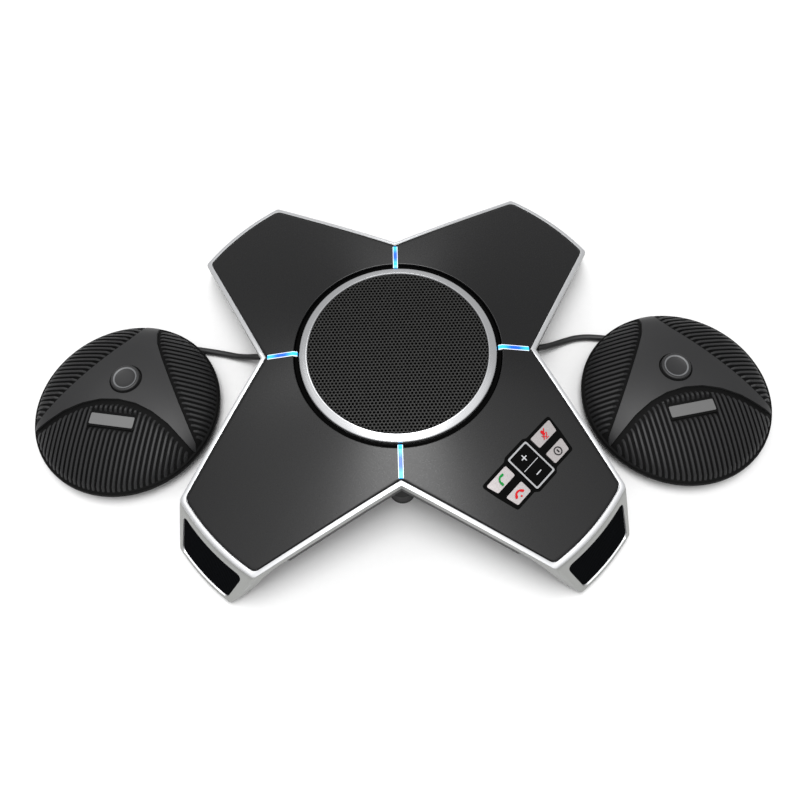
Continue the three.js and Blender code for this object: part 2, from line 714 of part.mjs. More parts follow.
for (const [side, [x, y]] of Object.entries(MIC_PLACES)) {
  const sign = side === "left" ? 1 : -1;
  const place = moved(x, y, 0).multiply(new THREE.Matrix4().makeRotationZ(-sign * MIC.yaw));
  micParts(side, sign, place);
  add(`mic_cord_${side}`, cordTube(CORD_ROUTES[side]), MATERIALS.rubber);
  const plugPlace = moved(-sign * (PLUG.x - GAP), PLUG.y, PLUG.z)
    .multiply(new THREE.Matrix4().makeRotationY((sign * Math.PI) / 2));
  add(`mic_plug_${side}`, rod(PLUG.r - 0.6, PLUG.r, PLUG.length, 12, plugPlace), MATERIALS.rubber);
}

export default group;
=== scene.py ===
from math import atan, atan2, ceil, cos, floor, hypot, pi, radians, sin, sqrt

import bmesh
import bpy
from mathutils import Matrix, Vector


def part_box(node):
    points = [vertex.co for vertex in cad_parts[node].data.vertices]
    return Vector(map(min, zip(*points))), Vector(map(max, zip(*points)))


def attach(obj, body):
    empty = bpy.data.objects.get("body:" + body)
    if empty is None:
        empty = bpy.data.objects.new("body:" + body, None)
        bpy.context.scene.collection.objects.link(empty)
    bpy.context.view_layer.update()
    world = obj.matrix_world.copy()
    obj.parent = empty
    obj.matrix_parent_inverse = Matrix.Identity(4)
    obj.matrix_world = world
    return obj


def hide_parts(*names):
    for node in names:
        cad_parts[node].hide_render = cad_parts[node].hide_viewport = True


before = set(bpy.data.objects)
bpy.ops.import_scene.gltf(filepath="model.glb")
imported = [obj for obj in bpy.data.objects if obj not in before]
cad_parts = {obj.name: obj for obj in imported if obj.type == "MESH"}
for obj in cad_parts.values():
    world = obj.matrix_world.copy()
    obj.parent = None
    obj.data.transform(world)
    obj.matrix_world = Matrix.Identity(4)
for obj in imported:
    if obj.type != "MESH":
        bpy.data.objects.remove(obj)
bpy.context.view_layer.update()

# Shapes are worked out in millimetres, with the table at z = 0, and scaled once at the end.
MM = 0.001
GAP = 0.3
ARMS = {"rear_right": 45, "rear_left": 135, "front_left": 225, "front_right": 315}
NOTCHES = {"right": 0, "rear": 90, "left": 180, "front": 270}
LIGHT = {"width": 2.6, "outer": 69.3, "inner": 52.9, "thick": 0.9, "rise": 0.12}
# The spacing at which a cutter is divided, wider than a cutter so that it is hardly divided.
CUTTER_PITCH = 100
# Edges that bend by more degrees than this are drawn sharp.
CREASE = 32


def span(node):
    """A CAD node's lowest and highest corners, in millimetres."""
    low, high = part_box(node)
    return low / MM, high / MM


def centre(node):
    low, high = span(node)
    return (low + high) / 2


def turned(degrees):
    return Matrix.Rotation(radians(degrees), 4, "Z")


def above(node):
    """The spot on the table below a CAD node's centre, as a place."""
    spot = centre(node)
    return Matrix.Translation((spot.x, spot.y, 0))


# ---- shading


def linear(colour):
    """An sRGB hex colour as linear RGBA."""
    parts = [int(colour[i:i + 2], 16) / 255 for i in (1, 3, 5)]
    return [c / 12.92 if c <= 0.04045 else ((c + 0.055) / 1.055) ** 2.4 for c in parts] + [1]


def add(tree, kind, inputs=None, **settings):
    """Adds a shader node; inputs maps a socket to a value or to another node's output."""
    made = tree.nodes.new("ShaderNode" + kind)
    for key, value in settings.items():
        setattr(made, key, value)
    for socket, value in (inputs or {}).items():
        if isinstance(value, bpy.types.NodeSocket):
            tree.links.new(value, made.inputs[socket])
        else:
            made.inputs[socket].default_value = value
    return made


def blank_material(name, **sockets):
    """A material with only its shader, whose sockets are given by name."""
    made = bpy.data.materials.new(name)
    made.use_nodes = True
    shader = made.node_tree.nodes["Principled BSDF"]
    for socket, value in sockets.items():
        shader.inputs[socket.replace("_", " ")].default_value = value
    return made, made.node_tree, shader


# The colour sockets of a Mix node, whose names its other sockets share.
MIX_A, MIX_B, MIX_RESULT = 6, 7, 2
# The width of a brushed line as a share of its length.
LINE_SHARE = 0.02
MESH_PITCH = 0.9


def blend_colours(tree, share, low, high):
    """Mixes two colours, each a hex value or another node's output."""
    low, high = (linear(colour) if isinstance(colour, str) else colour for colour in (low, high))
    mix = add(tree, "Mix", {0: share, MIX_A: low, MIX_B: high}, data_type="RGBA")
    return mix.outputs[MIX_RESULT]


def grained(name, low, high, roughness, grain, relief=0.0, flow="even", **sockets):
    """A surface whose colour, roughness and relief follow a grain of a size in millimetres.

    flow is even, rings for lines turned round Z, or along for lines on a piece's own UV map."""
    made, tree, shader = blank_material(name, **sockets)
    source = add(tree, "TexCoord")
    fine = 1 / (grain * MM)
    scale = (fine, fine, fine)
    start = source.outputs["Object"]
    if flow == "rings":
        flat = add(tree, "VectorMath", {0: start, 1: (1, 1, 0)}, operation="MULTIPLY")
        reach = add(tree, "VectorMath", {0: flat.outputs[0]}, operation="LENGTH")
        start = add(tree, "CombineXYZ", {"X": reach.outputs["Value"]}).outputs[0]
    elif flow == "along":
        # The map is in millimetres, so these lines are finer than a render shows.
        scale = (fine * LINE_SHARE, fine, fine)
        start = source.outputs["UV"]
    sized = add(tree, "Mapping", {"Vector": start, "Scale": scale})
    noise = add(tree, "TexNoise", {"Vector": sized.outputs[0], "Scale": 1.0, "Detail": 3.0})
    value = noise.outputs["Fac"]
    tree.links.new(blend_colours(tree, value, low, high), shader.inputs["Base Color"])
    matt = add(tree, "MapRange", {"Value": value, "From Min": 0.3, "From Max": 0.7,
                                  "To Min": roughness[0], "To Max": roughness[1]})
    tree.links.new(matt.outputs[0], shader.inputs["Roughness"])
    if relief:
        bump = add(tree, "Bump", {"Height": value, "Distance": relief * MM, "Strength": 1.0})
        tree.links.new(bump.outputs[0], shader.inputs["Normal"])
    return made


# Moulded ABS with a spark-eroded skin: a satin black whose highlight breaks up very slightly.
cover_abs = grained("moulded_satin_abs", "#0d0d0e", "#131314", (0.26, 0.34), 0.5, 0.003,
                    Specular_IOR_Level=0.4)
# The same ABS with a coarser skin underneath, where it is duller.
housing_abs = grained("moulded_textured_abs", "#121213", "#1b1b1c", (0.5, 0.62), 0.8, 0.02)
# Metallised and lacquered ABS: a bright satin silver, very slightly uneven; it is the rim's silver painted
# lighter on its upward faces, a painted highlight.
rim_top_painted_highlight_silver = grained("rim_top_silver_painted_highlight", "#d2d3d5", "#dcdddf", (0.28, 0.36), 0.35, 0.001, Metallic=0.75)
# Silver lacquer on the rim's sides: the top's silver painted greyer as painted shade, with a soft broad
# highlight.
rim_side_painted_shade_silver = grained("rim_side_painted_shade_silver", "#949593", "#a3a4a2", (0.36, 0.44), 0.3, 0.001, Metallic=0.8)
# Turned aluminium: fine rings that pull the highlight into two fans.
turned_aluminium = grained("turned_aluminium", "#c2c3c5", "#dadbdd", (0.2, 0.32), 0.16, 0.002, "rings",
                           Metallic=0.9)
# Polished ABS: piano black, with a sharp reflection.
polished_abs = grained("polished_abs", "#020202", "#050505", (0.1, 0.14), 1.5, Specular_IOR_Level=0.05)
# Powder-coated steel sheet: dark grey with a faint orange peel.
coated_steel = grained("powder_coated_steel", "#323231", "#424241", (0.36, 0.5), 0.5, 0.004, Metallic=0.35)
# Acoustic cloth: unlit black felt behind the holes.
acoustic_cloth = grained("black_acoustic_cloth", "#010101", "#040404", (0.9, 1.0), 0.3, 0.03,
                         Specular_IOR_Level=0.05)
# Silver paint on the keys: pale, a little pearly and soft in its highlight.
key_paint = grained("silver_key_paint", "#a29d9d", "#b8b3b3", (0.28, 0.38), 0.6, 0.002, Metallic=0.55)
# Screen inks: flat and slightly raised.
red_ink = grained("red_screen_ink", "#bf0a14", "#d6121c", (0.45, 0.55), 0.5, Specular_IOR_Level=0.15)
green_ink = grained("green_screen_ink", "#007a30", "#048f3c", (0.45, 0.55), 0.5, Specular_IOR_Level=0.15)
dark_ink = grained("dark_screen_ink", "#0c0d10", "#16171a", (0.45, 0.55), 0.5, Specular_IOR_Level=0.15)
pale_ink = grained("pale_screen_ink", "#b4b5b8", "#c8c9cc", (0.45, 0.55), 0.5)
# Grey ring moulded into the microphone button.
halo_ink = grained("grey_button_ring", "#626365", "#707173", (0.4, 0.5), 0.5)
# Zinc die casting under a satin plate, for the volume frame.
plated_zinc = grained("plated_zinc", "#a9aaac", "#bfc0c2", (0.16, 0.24), 0.4, 0.001, Metallic=1.0)
# Glass-filled nylon of the ribs: matt black with a dry look.
ribbed_nylon = grained("matt_ribbed_nylon", "#1c1c1d", "#262627", (0.44, 0.54), 0.4, 0.006,
                       Specular_IOR_Level=0.35)
# The same nylon down in the grooves, painted darker as painted shade where little light comes.
nylon_painted_shade = grained("nylon_painted_shade", "#060606", "#0b0b0b", (0.6, 0.7), 0.4, 0.006, Specular_IOR_Level=0.1)
# Soft-touch paint on the saddle: an even charcoal that scatters light widely.
soft_touch = grained("soft_touch_charcoal", "#1f1f20", "#262627", (0.4, 0.5), 0.3, 0.003, Sheen_Weight=0.04,
                     Specular_IOR_Level=0.4)
# Brushed anodised aluminium of the badge: an even satin grey, its lines too fine to tell apart.
brushed_badge = grained("brushed_anodised_aluminium", "#5c5c5c", "#747474", (0.34, 0.46), 0.12, 0.003,
                        "along", Metallic=0.5)
# Silicone rubber of the feet, pads, key mat and strain reliefs: matt black.
silicone = grained("black_silicone_rubber", "#0d0d0d", "#161616", (0.7, 0.82), 0.5, 0.01)
# Extruded PVC of the cords: dark grey, slightly waxy.
cord_pvc = grained("extruded_pvc", "#1b1b1c", "#262627", (0.38, 0.48), 0.9, 0.006)
# Zinc-plated steel of the screws, sockets, driver and capsules: a cool grey.
zinc_steel = grained("zinc_plated_steel", "#8b8e92", "#a6a9ad", (0.28, 0.42), 0.6, 0.003, Metallic=1.0)
# Glass epoxy with solder mask: an even dark green.
solder_mask = grained("green_solder_mask", "#10452a", "#1b6a41", (0.3, 0.45), 1.2)
# Pressed paper pulp of the speaker cone: near black and fibrous.
paper_pulp = grained("pressed_paper_pulp", "#121212", "#1e1e1e", (0.85, 0.95), 0.7, 0.04)


def woven_window():
    """Etched steel mesh: a grid of small square openings, dark behind."""
    made, tree, shader = blank_material("etched_steel_mesh", Roughness=0.8, Specular_IOR_Level=0.0)
    parts = add(tree, "SeparateXYZ", {0: add(tree, "TexCoord").outputs["UV"]})
    waves = []
    for axis in "XY":
        angle = add(tree, "Math", {0: parts.outputs[axis], 1: 2 * pi / MESH_PITCH}, operation="MULTIPLY")
        waves.append(add(tree, "Math", {0: angle.outputs[0]}, operation="SINE").outputs[0])
    both = add(tree, "Math", {0: waves[0], 1: waves[1]}, operation="ADD")
    opening = add(tree, "MapRange", {"Value": both.outputs[0], "From Min": 0.2, "From Max": 0.9})
    tree.links.new(blend_colours(tree, opening.outputs[0], "#121315", "#020202"), shader.inputs["Base Color"])
    bump = add(tree, "Bump", {"Height": opening.outputs[0], "Distance": 0.15 * MM}, invert=True)
    tree.links.new(bump.outputs[0], shader.inputs["Normal"])
    return made


def lit_guide():
    """Opal polycarbonate lit from inside: white at its edges, cyan along it, deep blue over the lamp."""
    made, tree, shader = blank_material("lit_opal_polycarbonate", Roughness=0.25, Emission_Strength=0.55)
    parts = add(tree, "SeparateXYZ", {0: add(tree, "TexCoord").outputs["UV"]})
    lamp_spot = (LIGHT["inner"] + LIGHT["outer"]) / 2 + 0.6
    along = add(tree, "Math", {0: parts.outputs["X"], 1: lamp_spot}, operation="SUBTRACT")
    near = add(tree, "Math", {0: along.outputs[0]}, operation="ABSOLUTE")
    aside = add(tree, "Math", {0: parts.outputs["Y"]}, operation="ABSOLUTE")
    lamp, edge = (
        add(tree, "MapRange", {"Value": way.outputs[0], "From Min": first, "From Max": last},
            interpolation_type="SMOOTHSTEP").outputs[0]
        for way, first, last in ((near, 1.2, 6.4), (aside, 0.85, 1.25))
    )
    whole = blend_colours(tree, edge, blend_colours(tree, lamp, "#0a58ff", "#2fb6f6"), "#f2f9ff")
    for socket in ("Base Color", "Emission Color"):
        tree.links.new(whole, shader.inputs[socket])
    return made


# ---- making pieces


def new_object(name, data):
    made = bpy.data.objects.new(name, data)
    bpy.context.scene.collection.objects.link(made)
    return made


def finish_piece(name, bm, material, stands_for=(), place=None, body="root"):
    """Turns a bmesh in millimetres into a piece in its place, which rides on a body."""
    if place is not None:
        bmesh.ops.transform(bm, matrix=place, verts=bm.verts)
    bmesh.ops.remove_doubles(bm, verts=bm.verts, dist=0.002)
    bmesh.ops.recalc_face_normals(bm, faces=bm.faces)
    bmesh.ops.scale(bm, vec=(MM, MM, MM), verts=bm.verts)
    mesh = bpy.data.meshes.new(name)
    bm.to_mesh(mesh)
    bm.free()
    made = new_object(name, mesh)
    mesh.materials.append(material)
    smoothed(mesh)
    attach(made, body)
    if stands_for:
        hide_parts(*stands_for)
    return made


def smoothed(mesh, crease=CREASE):
    mesh.polygons.foreach_set("use_smooth", [True] * len(mesh.polygons))
    mesh.set_sharp_from_angle(angle=radians(crease))


def cut_away(made, cutters, crease=CREASE):
    """Cuts the cutters, each a bmesh in millimetres, out of a finished piece."""
    tool_mesh = bpy.data.meshes.new("cutter")
    whole = bmesh.new()
    for bm in cutters:
        bmesh.ops.recalc_face_normals(bm, faces=bm.faces)
        bmesh.ops.scale(bm, vec=(MM, MM, MM), verts=bm.verts)
        bm.to_mesh(tool_mesh)
        bm.free()
        whole.from_mesh(tool_mesh)
    whole.to_mesh(tool_mesh)
    whole.free()
    tool = new_object("cutter", tool_mesh)
    modifier = made.modifiers.new("cut", "BOOLEAN")
    modifier.operation = "DIFFERENCE"
    modifier.solver = "EXACT"
    modifier.object = tool
    graph = bpy.context.evaluated_depsgraph_get()
    mesh = bpy.data.meshes.new_from_object(made.evaluated_get(graph))
    made.modifiers.clear()
    made.data = mesh
    bpy.data.objects.remove(tool)
    smoothed(mesh, crease)


def lathe(profile, steps=96, closed=False):
    """A profile of (r, z) points turned round Z."""
    bm = bmesh.new()
    verts = [bm.verts.new((r, 0, z)) for r, z in profile]
    pairs = list(zip(verts, verts[1:])) + ([(verts[-1], verts[0])] if closed else [])
    edges = [bm.edges.new(pair) for pair in pairs]
    bmesh.ops.spin(bm, geom=verts + edges, cent=(0, 0, 0), axis=(0, 0, 1), angle=2 * pi, steps=steps,
                   use_merge=True)
    bmesh.ops.remove_doubles(bm, verts=bm.verts, dist=0.0005)
    return bm


def stacked(rings, lid=False, closed=False):
    """A skin grown ring by ring through rings whose points match one to one."""
    bm = bmesh.new()
    first = [bm.verts.new(point) for point in rings[0]]
    loop = [bm.edges.new(pair) for pair in zip(first, first[1:] + first[:1])]
    starts = loop
    order = {vert: i for i, vert in enumerate(first)}
    for ring in rings[1:]:
        known = {vert.co.to_tuple(5): i for vert, i in order.items()}
        grown = bmesh.ops.extrude_edge_only(bm, edges=loop)["geom"]
        fresh = [item for item in grown if isinstance(item, bmesh.types.BMVert)]
        loop = [item for item in grown if isinstance(item, bmesh.types.BMEdge)]
        order = {vert: known[vert.co.to_tuple(5)] for vert in fresh}
        loop = [edge for edge in loop if all(vert in order for vert in edge.verts)]
        for vert, i in order.items():
            vert.co = ring[i]
    if lid:
        bmesh.ops.contextual_create(bm, geom=starts)
        bmesh.ops.contextual_create(bm, geom=loop)
    if closed:
        bmesh.ops.bridge_loops(bm, edges=starts + loop)
    return bm


def rounded_outline(corners, radius, steps=5):
    """A polygon whose corners are rounded, as points in order."""
    points = []
    corners = [Vector(corner) for corner in corners]
    for i, corner in enumerate(corners):
        before = (corners[i - 1] - corner).normalized()
        after = (corners[(i + 1) % len(corners)] - corner).normalized()
        opening = before.angle(after)
        back = min(radius / max(0.05, sin(opening / 2) / cos(opening / 2)), radius * 2.5)
        enter = corner + before * back
        leave = corner + after * back
        for k in range(steps + 1):
            t = k / steps
            points.append(enter.lerp(corner, t).lerp(corner.lerp(leave, t), t))
    return points


def circle_outline(x, y, r, steps=40):
    return [Vector((x + r * cos(2 * pi * i / steps), y + r * sin(2 * pi * i / steps))) for i in range(steps)]


def plate(outline, foot, top, radius, pitch, place, rim_steps=3):
    """A plate with a rolled top edge, cut finely enough to follow a curved surface.

    place turns a point (x, y, z) of the flat plate into its place. Its UV map is the flat plate, in mm."""
    bm = bmesh.new()
    edge_layer = bm.verts.layers.float.new("edge")
    face = bm.faces.new([bm.verts.new((p.x, p.y, 0)) for p in outline])
    if radius:
        for k in range(rim_steps):
            step = radius / rim_steps
            before = set(bm.verts)
            bmesh.ops.inset_region(bm, faces=[face], thickness=step, use_even_offset=True)
            for vert in bm.verts:
                if vert not in before:
                    vert[edge_layer] = step * (k + 1)
    xs = [vert.co.x for vert in bm.verts]
    ys = [vert.co.y for vert in bm.verts]
    for axis, values in ((Vector((1, 0, 0)), xs), (Vector((0, 1, 0)), ys)):
        for k in range(ceil((min(values) + 1e-4) / pitch), floor((max(values) - 1e-4) / pitch) + 1):
            geometry = bm.verts[:] + bm.edges[:] + bm.faces[:]
            bmesh.ops.bisect_plane(bm, geom=geometry, dist=1e-5, plane_co=axis * (k * pitch), plane_no=axis)
    uv_layer = bm.loops.layers.uv.new("flat")
    base = bm.faces[:]
    grown = bmesh.ops.extrude_face_region(bm, geom=base)["geom"]
    upper = {item for item in grown if isinstance(item, bmesh.types.BMVert)}
    for face in bm.faces:
        for loop in face.loops:
            loop[uv_layer].uv = loop.vert.co.xy
    for vert in bm.verts:
        x, y = vert.co.xy
        if vert in upper:
            inward = max(0.0, radius - vert[edge_layer])
            drop = radius - sqrt(max(0.0, radius ** 2 - inward ** 2))
            vert.co = place(x, y, top - drop)
        else:
            vert.co = place(x, y, foot)
    return bm


def through(outline, foot, top, place, degrees=0):
    """A cutter with the shape of an outline, from foot to top, turned round Z."""
    cutter = plate(outline, foot, top, 0, CUTTER_PITCH, place)
    bmesh.ops.transform(cutter, matrix=turned(degrees), verts=cutter.verts)
    return cutter


def box_of(place, *size):
    """A box of a size about its place's origin."""
    bm = bmesh.new()
    bmesh.ops.create_cube(bm, size=1.0, matrix=place @ Matrix.Diagonal((*size, 1)))
    return bm


# ---- camera

# The lens and the camera's place in millimetres, and its roll in degrees.
LENS = 34.85
LENS_SHIFT = (0.003, -0.0639)
CAMERA_SPOT = (5.1, -196.0, 405.3)
CAMERA_ROLL = -3.215


def aim_camera():
    """Looks down at the front of the speaker from just over 60 degrees, turned a little clockwise."""
    data = bpy.data.cameras.new("camera")
    data.lens = LENS
    data.shift_x, data.shift_y = LENS_SHIFT
    data.clip_start = 0.01
    camera = new_object("camera", data)
    spot = Vector(CAMERA_SPOT)
    back = (spot - Vector((0, 0, span("grille_ring")[1].z))).normalized()
    right = Vector((0, 0, 1)).cross(back).normalized()
    up = back.cross(right)
    roll = radians(CAMERA_ROLL)
    side = right * cos(roll) + up * sin(roll)
    top = up * cos(roll) - right * sin(roll)
    camera.matrix_world = Matrix.Translation(spot * MM) @ Matrix((side, top, back)).transposed().to_4x4()
    bpy.context.scene.camera = camera


aim_camera()


# ---- cords

CORD_D = 3.8
# From the gland under each microphone along the table to the plug in the side notch.
CORD_ROUTES = {
    "left": [
        (-133.7, 32.8, 2.6), (-130.2, 32.2, 2.5), (-126.6, 31.5, 2.2), (-122.9, 30.8, 2.0),
        (-119.0, 30.0, 2.0), (-115.0, 29.2, 2.0), (-111.0, 28.4, 2.0), (-107.0, 27.5, 2.0),
        (-103.0, 26.5, 2.1), (-99.0, 25.3, 2.4), (-95.4, 24.2, 3.0), (-92.2, 23.3, 4.0),
        (-89.2, 22.4, 5.3), (-86.4, 21.6, 6.8), (-83.6, 20.9, 7.9), (-80.9, 20.5, 8.4),
    ],
    "right": [
        (133.7, 29.0, 2.6), (130.2, 28.5, 2.5), (126.6, 28.4, 2.2), (122.8, 28.8, 2.0),
        (119.0, 29.3, 2.0), (115.2, 29.8, 2.0), (111.4, 30.0, 2.0), (107.7, 29.9, 2.0),
        (104.0, 29.3, 2.1), (100.3, 28.2, 2.4), (96.7, 26.8, 3.0), (93.2, 25.2, 4.0),
        (89.9, 23.6, 5.3), (86.8, 22.1, 6.8), (83.8, 21.0, 7.9), (80.9, 20.5, 8.4),
    ],
}
RELIEF_RIBS = 4
# The points of one rib: how far along its share of the relief, and how deep below the taper.
RELIEF_RIB = ((0.35, 0), (0.45, 0.35), (0.75, 0.35), (0.85, 0))


def relief_axis(node, middle):
    """A gland points from its middle at its cord's start; a plug's relief lies across its cord, along Y."""
    if "plug" in node:
        return Vector((0, 1, 0))
    start = Vector(CORD_ROUTES[node.rsplit("_", 1)[1]][0])
    return Vector((start.x - middle.x, start.y - middle.y, 0)).normalized()


def moulded_relief(node):
    """A tapered strain relief with ribs round it, along a CAD gland or plug."""
    middle = centre(node)
    facing = relief_axis(node, middle)
    spots = [vert.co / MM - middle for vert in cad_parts[node].data.vertices]
    reach = [spot.dot(facing) for spot in spots]
    half = max(reach)
    foot_r, top_r = (
        max((spot - facing * r).length for spot, r in zip(spots, reach) if abs(r - end * half) < 0.4)
        for end in (-1, 1)
    )
    length = 2 * half
    profile = [(0, 0), (foot_r - 0.3, 0), (foot_r, 0.3)]
    for k in range(RELIEF_RIBS):
        for share, sunk in RELIEF_RIB:
            at = 0.12 + 0.76 * (k + share) / RELIEF_RIBS
            profile.append((foot_r + (top_r - foot_r) * at - sunk, length * at))
    profile += [(top_r, length - 0.3), (top_r - 0.3, length), (0, length)]
    turn = facing.to_track_quat("Z", "Y").to_matrix().to_4x4()
    return finish_piece(node + "_relief", lathe(profile, 32), silicone, [node],
                        place=Matrix.Translation(middle - facing * half) @ turn)


def lay_cord(side):
    route = CORD_ROUTES[side]
    line = bpy.data.curves.new(f"cord_{side}", "CURVE")
    line.dimensions = "3D"
    line.bevel_depth = CORD_D / 2 * MM
    line.bevel_resolution = line.resolution_u = 6
    line.use_fill_caps = True
    spline = line.splines.new("NURBS")
    spline.points.add(len(route) - 1)
    for point, spot in zip(spline.points, route):
        point.co = (*(value * MM for value in spot), 1)
    spline.order_u = 3
    spline.use_endpoint_u = True
    line.materials.append(cord_pvc)
    made = new_object(f"microphone_cord_{side}", line)
    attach(made, "root")
    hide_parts(f"mic_cord_{side}")
    reliefs = [moulded_relief(f"mic_{end}_{side}") for end in ("gland", "plug")]
    length = sum((Vector(b) - Vector(a)).length for a, b in zip(route, route[1:]))


for side in CORD_ROUTES:
    lay_cord(side)


# ---- the main unit's outline

ARM_SIDE = 64
TAPER = 16.44
ARM_TAPER = radians(TAPER)
TIP_R = 133
NOTCH_Z = 44.8
NOTCH_R = ARM_SIDE / cos(pi / 4 - ARM_TAPER)
CONE_SLOPE = 0.233
CREST_R = 55.1
CAP_FLARE = 0.52
CAP_LEAN = 0.12
TIP_STEPS = 9
CORNER_STEPS = 6
SIDE_STEPS = 24
SIDE_NORMAL = pi / 2 - ARM_TAPER


def cone_z(x, y=0.0):
    return NOTCH_Z - CONE_SLOPE * (hypot(x, y) - NOTCH_R)


def half_arm(inset, corner, tip_r, slide=0.0, lean=0.0):
    """Points from the middle of an arm's tip round its corner and along its side to the notch."""
    normal = Vector((cos(SIDE_NORMAL), sin(SIDE_NORMAL)))
    along = Vector((normal.y, -normal.x))
    side = ARM_SIDE - inset
    foot = normal * (side - lean - corner) - Vector((slide, 0))
    across = foot.dot(along)
    reach = -across + sqrt(across ** 2 - foot.length_squared + (tip_r - corner) ** 2)
    middle = foot + along * reach
    turn = atan2(middle.y, middle.x)
    middle.x += slide
    points = []
    for i in range(TIP_STEPS):
        angle = turn * i / TIP_STEPS
        points.append(Vector((slide + tip_r * cos(angle), tip_r * sin(angle))))
    for i in range(CORNER_STEPS + 1):
        angle = turn + (SIDE_NORMAL - turn) * i / CORNER_STEPS
        points.append(middle + corner * Vector((cos(angle), sin(angle))))
    start = points[-1].copy()
    notch = side / cos(pi / 4 - ARM_TAPER)
    end = Vector((notch * cos(pi / 4), notch * sin(pi / 4)))
    for i in range(1, SIDE_STEPS + 1):
        points.append(start.lerp(end, (i / SIDE_STEPS) ** 1.5))
    return points


HALF_COUNT = TIP_STEPS + CORNER_STEPS + 1 + SIDE_STEPS


def all_round(half):
    """A ring round all four arms from the points (x, y, z) of half an arm."""
    arm = [Vector((p.x, -p.y, p.z)) for p in reversed(half[1:])] + list(half[:-1])
    ring = []
    for degrees in sorted(ARMS.values()):
        turn = turned(degrees)
        ring += [turn @ point for point in arm]
    return ring


def outline_ring(inset, corner, drop, tip_r=None, height=None):
    """A ring of the outline moved in by inset, at drop below the cone or at one height."""
    half = half_arm(inset, corner, TIP_R - inset if tip_r is None else tip_r)
    return all_round([
        Vector((p.x, p.y, cone_z(p.x, p.y) - drop if height is None else height)) for p in half
    ])


def round_ring(r, z, like):
    """A circle of radius r whose points lie at the angles of another ring's points."""
    return [Vector((r * p.x / hypot(p.x, p.y), r * p.y / hypot(p.x, p.y), z)) for p in like]


# ---- silver rim and its flared end caps

RIM_BAND = 2.3
RIM_DEPTH = 4.2
RIM_CORNER = 2.4
RIM_INNER_CORNER = 4.2
CAP_BOTTOM = span("rim_frame")[0].z + 1.2
CAP_WALL = 2.2
CAP_LIP = 6.0
# Rounds of working out where the wall's lower edge meets its own lean.
SETTLING_ROUNDS = 60
TIP_Z = cone_z(TIP_R)
# The lower edge of an arm's side as it falls from the band to the end cap's foot: (x, z) points.
DIAGONAL = [
    (117, cone_z(117) - RIM_DEPTH - 0.2), (124, cone_z(124) - RIM_DEPTH - 3.5), (139.6, CAP_BOTTOM - 1),
]
WINDOW = {"top_z": 26.5, "bottom_z": 5.1, "top_half": 22.7, "bottom_half": 17.9, "corner": 3.6}
# Where the cutter of a window starts and ends, out along its arm.
WINDOW_CUT = (128, 152)


def cap_slide(z):
    return CAP_FLARE * max(0.0, TIP_Z - z)


def cap_lean(z):
    return CAP_LEAN * max(0.0, TIP_Z - RIM_DEPTH - z)


def wall_floor(x, y):
    """Height of the lower edge of the rim's wall at a point of its outline."""
    band = cone_z(x, y) - RIM_DEPTH
    if x <= DIAGONAL[0][0]:
        return band
    lowest = CAP_BOTTOM + max(0.0, abs(y) - 20.5) * 0.514
    for (x0, z0), (x1, z1) in zip(DIAGONAL, DIAGONAL[1:]):
        if x <= x1:
            return min(band, max(lowest, z0 + (z1 - z0) * (x - x0) / (x1 - x0)))
    return lowest


def floor_of_point(i):
    """Height of the lower edge under a point of half an arm's outline."""
    z = TIP_Z - RIM_DEPTH
    for _ in range(SETTLING_ROUNDS):
        point = half_arm(0, RIM_CORNER, TIP_R, cap_slide(z), cap_lean(z))[i]
        z = wall_floor(point.x, point.y)
    return z


def rim_frame():
    top = half_arm(0, RIM_CORNER, TIP_R)
    floors = [floor_of_point(i) for i in range(HALF_COUNT)]

    def wall_point(i, inset, z):
        corner = max(0.4, RIM_CORNER - inset)
        point = half_arm(inset, corner, TIP_R - inset, cap_slide(z), cap_lean(z))[i]
        return Vector((point.x, point.y, z))

    def wall(inset, share, lift=0.0):
        points = []
        for i, edge in enumerate(top):
            high = cone_z(edge.x, edge.y) - 0.3
            points.append(wall_point(i, inset, high + (floors[i] - high) * share + lift))
        return all_round(points)

    def lip(rise):
        """The shelf that runs in under each end cap, rise above the wall's lower edge."""
        deep = [CAP_LIP if low < CAP_BOTTOM + 1.5 else CAP_WALL for low in floors]
        return all_round([wall_point(i, deep[i], low + rise) for i, low in enumerate(floors)])

    rings = [outline_ring(RIM_BAND - out, RIM_INNER_CORNER, drop) for out, drop in (
        (0, 1.6), (0, 0.25), (0.04, 0.06), (0.15, 0.0))]
    rings += [outline_ring(inset, RIM_CORNER - inset, drop) for inset, drop in (
        (0.3, 0.0), (0.1, 0.06), (0.02, 0.2))]
    rings += [wall(0, share) for share in (0, 0.1, 0.25, 0.4, 0.55, 0.7, 0.85, 0.96)]
    rings += [wall(0.05, 1, 0.15), wall(0.25, 1), wall(CAP_WALL, 1), lip(0.0), lip(CAP_WALL)]
    rings += [wall(CAP_WALL, share) for share in (0.8, 0.5, 0.2)]
    rings += [outline_ring(RIM_BAND + 3, 0.5, drop) for drop in (4.2, 2.5)]
    made = finish_piece("rim", stacked(rings, closed=True), rim_top_painted_highlight_silver,
                        ["rim_frame"])
    # The rim's upward faces take the lighter silver and its other faces the greyer one: painted highlight on
    # top, painted shade on the sides.
    made.data.materials.append(rim_side_painted_shade_silver)
    for face in made.data.polygons:
        face.material_index = 0 if face.normal.z > 0.6 else 1
    outline = rounded_outline(window_corners(0.0), WINDOW["corner"], 7)
    cut_away(made, [through(outline, *WINDOW_CUT, lambda y, z, x: Vector((x, y, z)), degrees)
                    for degrees in ARMS.values()], 40)


def window_corners(inset):
    top, bottom = WINDOW["top_half"] - inset, WINDOW["bottom_half"] - inset
    high, low = WINDOW["top_z"] - inset, WINDOW["bottom_z"] + inset
    return [(-bottom, low), (bottom, low), (top, high), (-top, high)]


